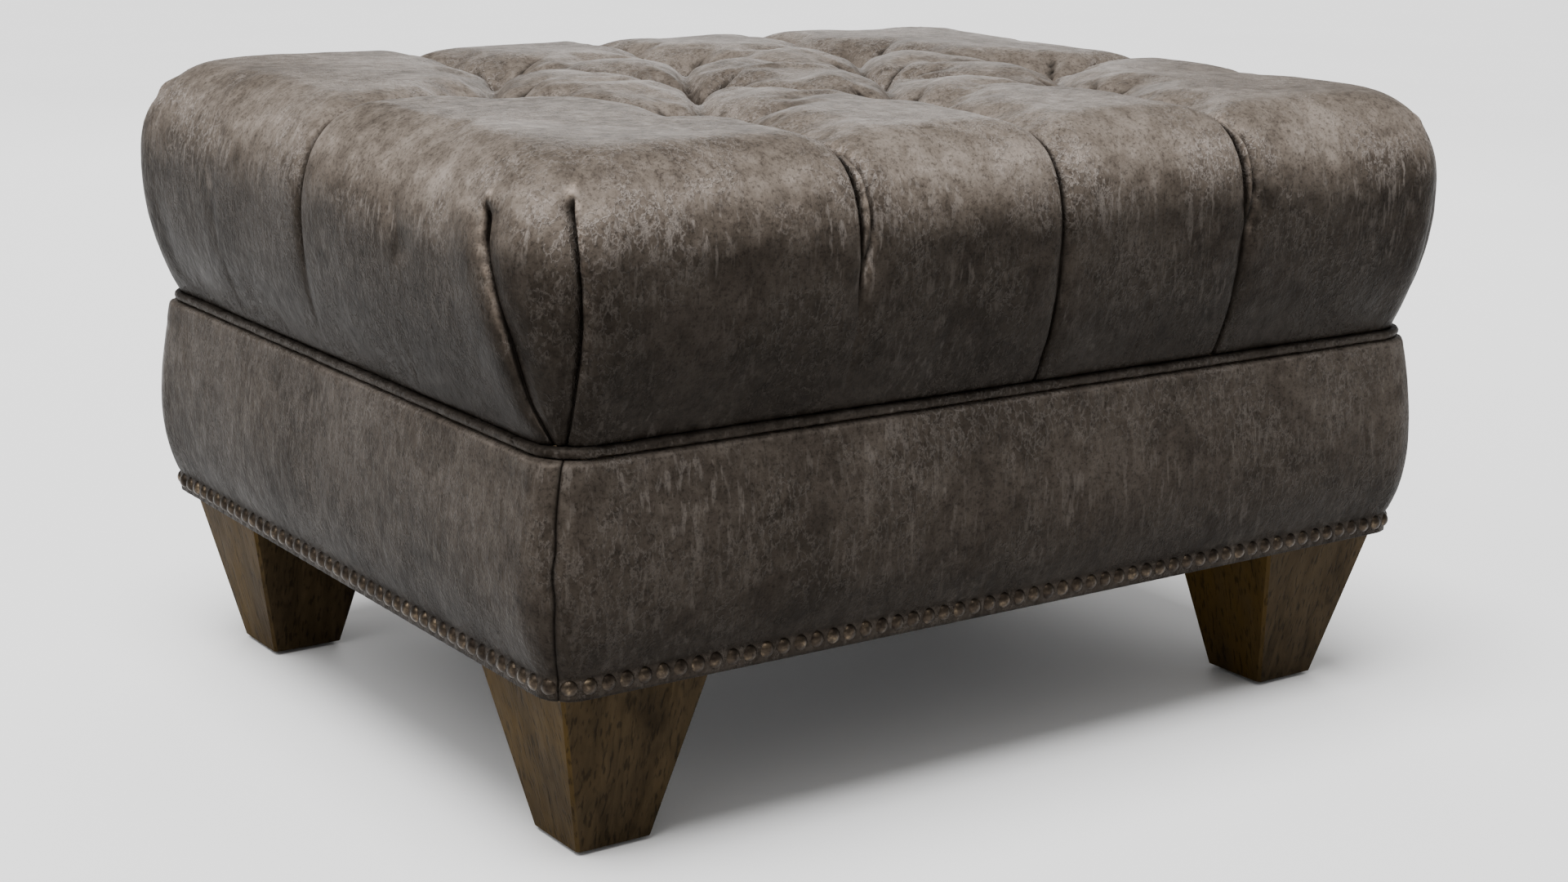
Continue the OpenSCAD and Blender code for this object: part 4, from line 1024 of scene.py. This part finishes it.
def wood(name, dark, light, scale=1.0, rough=0.6, gold=None):
    """Wood with upright grain, bands and pores. Where gold is given, the faces towards -X get a patchy gold
    tint as painted light.
    """
    m = Nodes(name)
    grain = m.noise(m.mapped((1, 1, 0.07)), 95.0 * scale, 5, 0.62, 0.8)
    bands = m.noise(m.mapped((1, 1, 0.12)), 24.0 * scale, 3, 0.5, 1.2)
    tone = m.plus(m.times(grain, 0.6), m.times(bands, 0.4))
    color = m.ramp(tone, (0.36, dark), (0.64, light))
    if gold:
        # Painted light: the faces towards -X are tinted gold in patches, for the light that falls on that
        # side
        painted_light_ramp = m.ramp(m.noise(m.mapped((1, 1, 0.4)), 21.0, 3, 0.6), (0.36, 0.25), (0.6, 1.0))
        left = m.ramp(m.times(m.normal_part("X"), -1.0), (0.3, 0.15), (0.8, 1.0))
        color = m.mix(m.times(m.times(painted_light_ramp, left), 0.85), color, gold)
    pores = m.ramp(m.noise(m.mapped((1, 1, 0.05)), 420.0 * scale, 2, 0.5), (0.34, 0.45), (0.46, 1.0))
    color = m.tint(color, pores)
    normal = m.bump(m.plus(grain, pores), 0.0004, 0.5)
    rough = m.ramp(tone, (0.3, rough + 0.1), (0.7, rough - 0.06))
    return m.finish(color, rough, normal, **WOOD_SHEEN)


def antique_metal(name):
    """Dark metal with rubbed, paler blotches."""
    m = Nodes(name)
    blotch = m.noise(m.mapped(), 130.0, 4, 0.65)
    color = m.ramp(blotch, (0.35, (0.015, 0.0105, 0.0075)), (0.56, (0.04, 0.03, 0.021)),
                   (0.76, (0.15, 0.112, 0.073)))
    rough = m.ramp(blotch, (0.3, 0.55), (0.7, 0.3))
    return m.finish(color, rough, m.bump(m.noise(m.mapped(), 900.0, 2), 0.0003, 0.4), Metallic=0.9)


def plain(name, color, rough, scale=300.0, metal=0.0, depth=0.0003):
    """Even material with faint spots, for what is moulded, foamed, pressed or plated."""
    m = Nodes(name)
    spots = m.noise(m.mapped(), scale, 4, 0.6)
    shade = m.ramp(spots, (0.3, scaled(color, 0.78)), (0.7, tuple(min(1, c * 1.18) for c in color)))
    rough = m.ramp(spots, (0.3, rough + 0.08), (0.7, max(0.05, rough - 0.08)))
    return m.finish(shade, rough, m.bump(spots, depth, 0.4), Metallic=metal)


WEAVE_SCALE, WEAVE_ROUGH = 222.8235, 0.85


def woven(name, color):
    """Thin weave of two crossed waves."""
    m = Nodes(name)
    waves = []
    for axis in ("X", "Y"):
        wave = m.add("TexWave", Vector=m.coord, Scale=WEAVE_SCALE, Distortion=1.0)
        wave.bands_direction = axis
        waves.append(wave.outputs["Fac"])
    weave = m.times(*waves)
    shade = m.ramp(weave, (0.1, scaled(color, 0.6)), (0.8, color))
    return m.finish(shade, WEAVE_ROUGH, m.bump(weave, 0.0003, 0.6))


def dress(ob, mat):
    """Gives an object one material in all its slots."""
    if not ob.data.materials:
        ob.data.materials.append(mat)
    for k in range(len(ob.data.materials)):
        ob.data.materials[k] = mat


# Pieces and their materials

cushion = build_cushion()
bands = [band_panel("band_" + side, k, side + "_band")
         for k, side in enumerate(("front", "right", "back", "left"))]
welt = build_welt()

# Cushion and band share one leather: the cushion's lower factor is painted shade and the band's higher one
# painted light, and crest and low set each piece's painted highlight over its upper edge and painted shade
# where it faces down
dress(cushion, leather("leather_cushion", 0.84, crest=6.8, low=0.5, marked=0.7))
band_leather = leather("leather_band", 1.04, crest=2.9, low=0.5, marked=0.5)
for band in bands:
    dress(band, band_leather)
dress(welt, leather("leather_trim", 0.8, crest=1.5))

# Materials of the CAD nodes, by name or by its beginning or end
looks = {
    "leg_glides": plain("nylon", (0.03, 0.03, 0.03), 0.5),
    "dust_cover": woven("cambric", (0.018, 0.018, 0.02)),
    "tuft_buttons": leather("leather_button", 0.8, lines=False),
    "foam_core": plain("foam", (0.75, 0.66, 0.38), 0.9, 900, 0, 0.001),
    "fibre_wrap": plain("fibre", (0.8, 0.8, 0.77), 0.95, 260, 0, 0.002),
    "deck_board": wood("wood_deck", (0.4, 0.27, 0.15), (0.62, 0.46, 0.28), 0.4, 0.62),
    "band_padding": plain("wadding", (0.8, 0.8, 0.77), 0.95, 260, 0, 0.002),
    "tack_strip": plain("card", (0.42, 0.31, 0.19), 0.9),
    "tufting_twine": woven("twine", (0.55, 0.47, 0.33)),
    "twine_washers": plain("vulcanised_fibre", (0.22, 0.1, 0.05), 0.6),
}
leg_wood = wood("wood_leg", (0.010, 0.0068, 0.0038), (0.036, 0.0245, 0.0125), gold=(0.052, 0.03, 0.0055))
frame_wood = wood("wood_frame", (0.35, 0.22, 0.11), (0.6, 0.43, 0.25), 0.6)
nail_metal = antique_metal("metal_nails")
zinc = plain("metal_zinc", (0.6, 0.6, 0.57), 0.35, 500, 1.0)
for name, ob in nodes.items():
    if name in looks:
        dress(ob, looks[name])
    elif name.startswith("leg_"):
        dress(ob, leg_wood)
    elif name.startswith("nails_"):
        dress(ob, nail_metal)
    elif name.endswith("_rail") or name.startswith(("cross_rail", "block_")):
        dress(ob, frame_wood)
    elif name.endswith(("_bolts", "_nuts", "_screws", "_staples")):
        dress(ob, zinc)

# Floor, light and camera

# Half the floor's width in millimetres. The lengths below are in metres and the angles in degrees.
FLOOR = 60000.0
SUN_FROM, SUN_POWER, SUN_ANGLE = (-0.22, -0.1, 1.0), 5.2, 38
# Square lights: name, place, what they aim at, size and power
LIGHTS = (("key", (-2.2, -0.5, 2.1), (0, 0, 0.3), 1.3, 22), ("back", (1.7, 2.5, 1.5), (0, 0, 0.4), 1.6, 20))
WORLD_STRENGTH = 0.5
CAMERA_FROM, CAMERA_YAW, CAMERA_PITCH, CAMERA_ROLL = (-1.104, -1.560, 0.660), 54.57, 14.28, 1.22
# Lens in millimetres, and how far the camera sees
CAMERA_LENS, CAMERA_REACH = 58.81, 200


def light(name, kind, place_at, aim, power):
    data = bpy.data.lights.new(name, kind)
    data.energy = power
    ob = place_new(name, data)
    ob.location = place_at
    ob.rotation_euler = (Vector(aim) - Vector(place_at)).to_track_quat("-Z", "Y").to_euler()
    return data


floor = make_mesh("floor", [(x * FLOOR, y * FLOOR, 0) for x, y in QUARTERS], [(0, 1, 2, 3)], False)
pale = Nodes("floor_pale")
cloud = pale.noise(pale.mapped(), 2.0, 2)
dress(floor, pale.finish(pale.ramp(cloud, (0.3, 0.92), (0.7, 0.94)), 0.75))

light("overhead", "SUN", SUN_FROM, (0, 0, 0), SUN_POWER).angle = math.radians(SUN_ANGLE)
for name, place_at, aim, size, power in LIGHTS:
    area = light(name, "AREA", place_at, aim, power)
    area.shape = "SQUARE"
    area.size = size
world = bpy.data.worlds.new("world")
bpy.context.scene.world = world
world.use_nodes = True
sky = world.node_tree.nodes["Background"]
sky.inputs["Color"].default_value = (1, 1, 1, 1)
sky.inputs["Strength"].default_value = WORLD_STRENGTH

cam_data = bpy.data.cameras.new("camera")
cam = place_new("camera", cam_data)
yaw, pitch, roll = (math.radians(angle) for angle in (CAMERA_YAW, CAMERA_PITCH, CAMERA_ROLL))
ahead = Vector((math.cos(pitch) * math.cos(yaw), math.cos(pitch) * math.sin(yaw), -math.sin(pitch)))
right = ahead.cross(Vector((0, 0, 1))).normalized()
up = right.cross(ahead)
right, up = math.cos(roll) * right + math.sin(roll) * up, math.cos(roll) * up - math.sin(roll) * right
cam.matrix_world = Matrix.Translation(CAMERA_FROM) @ Matrix((right, up, -ahead)).transposed().to_4x4()
cam_data.sensor_width = 36.0
cam_data.lens = CAMERA_LENS
cam_data.clip_end = CAMERA_REACH
bpy.context.scene.camera = cam
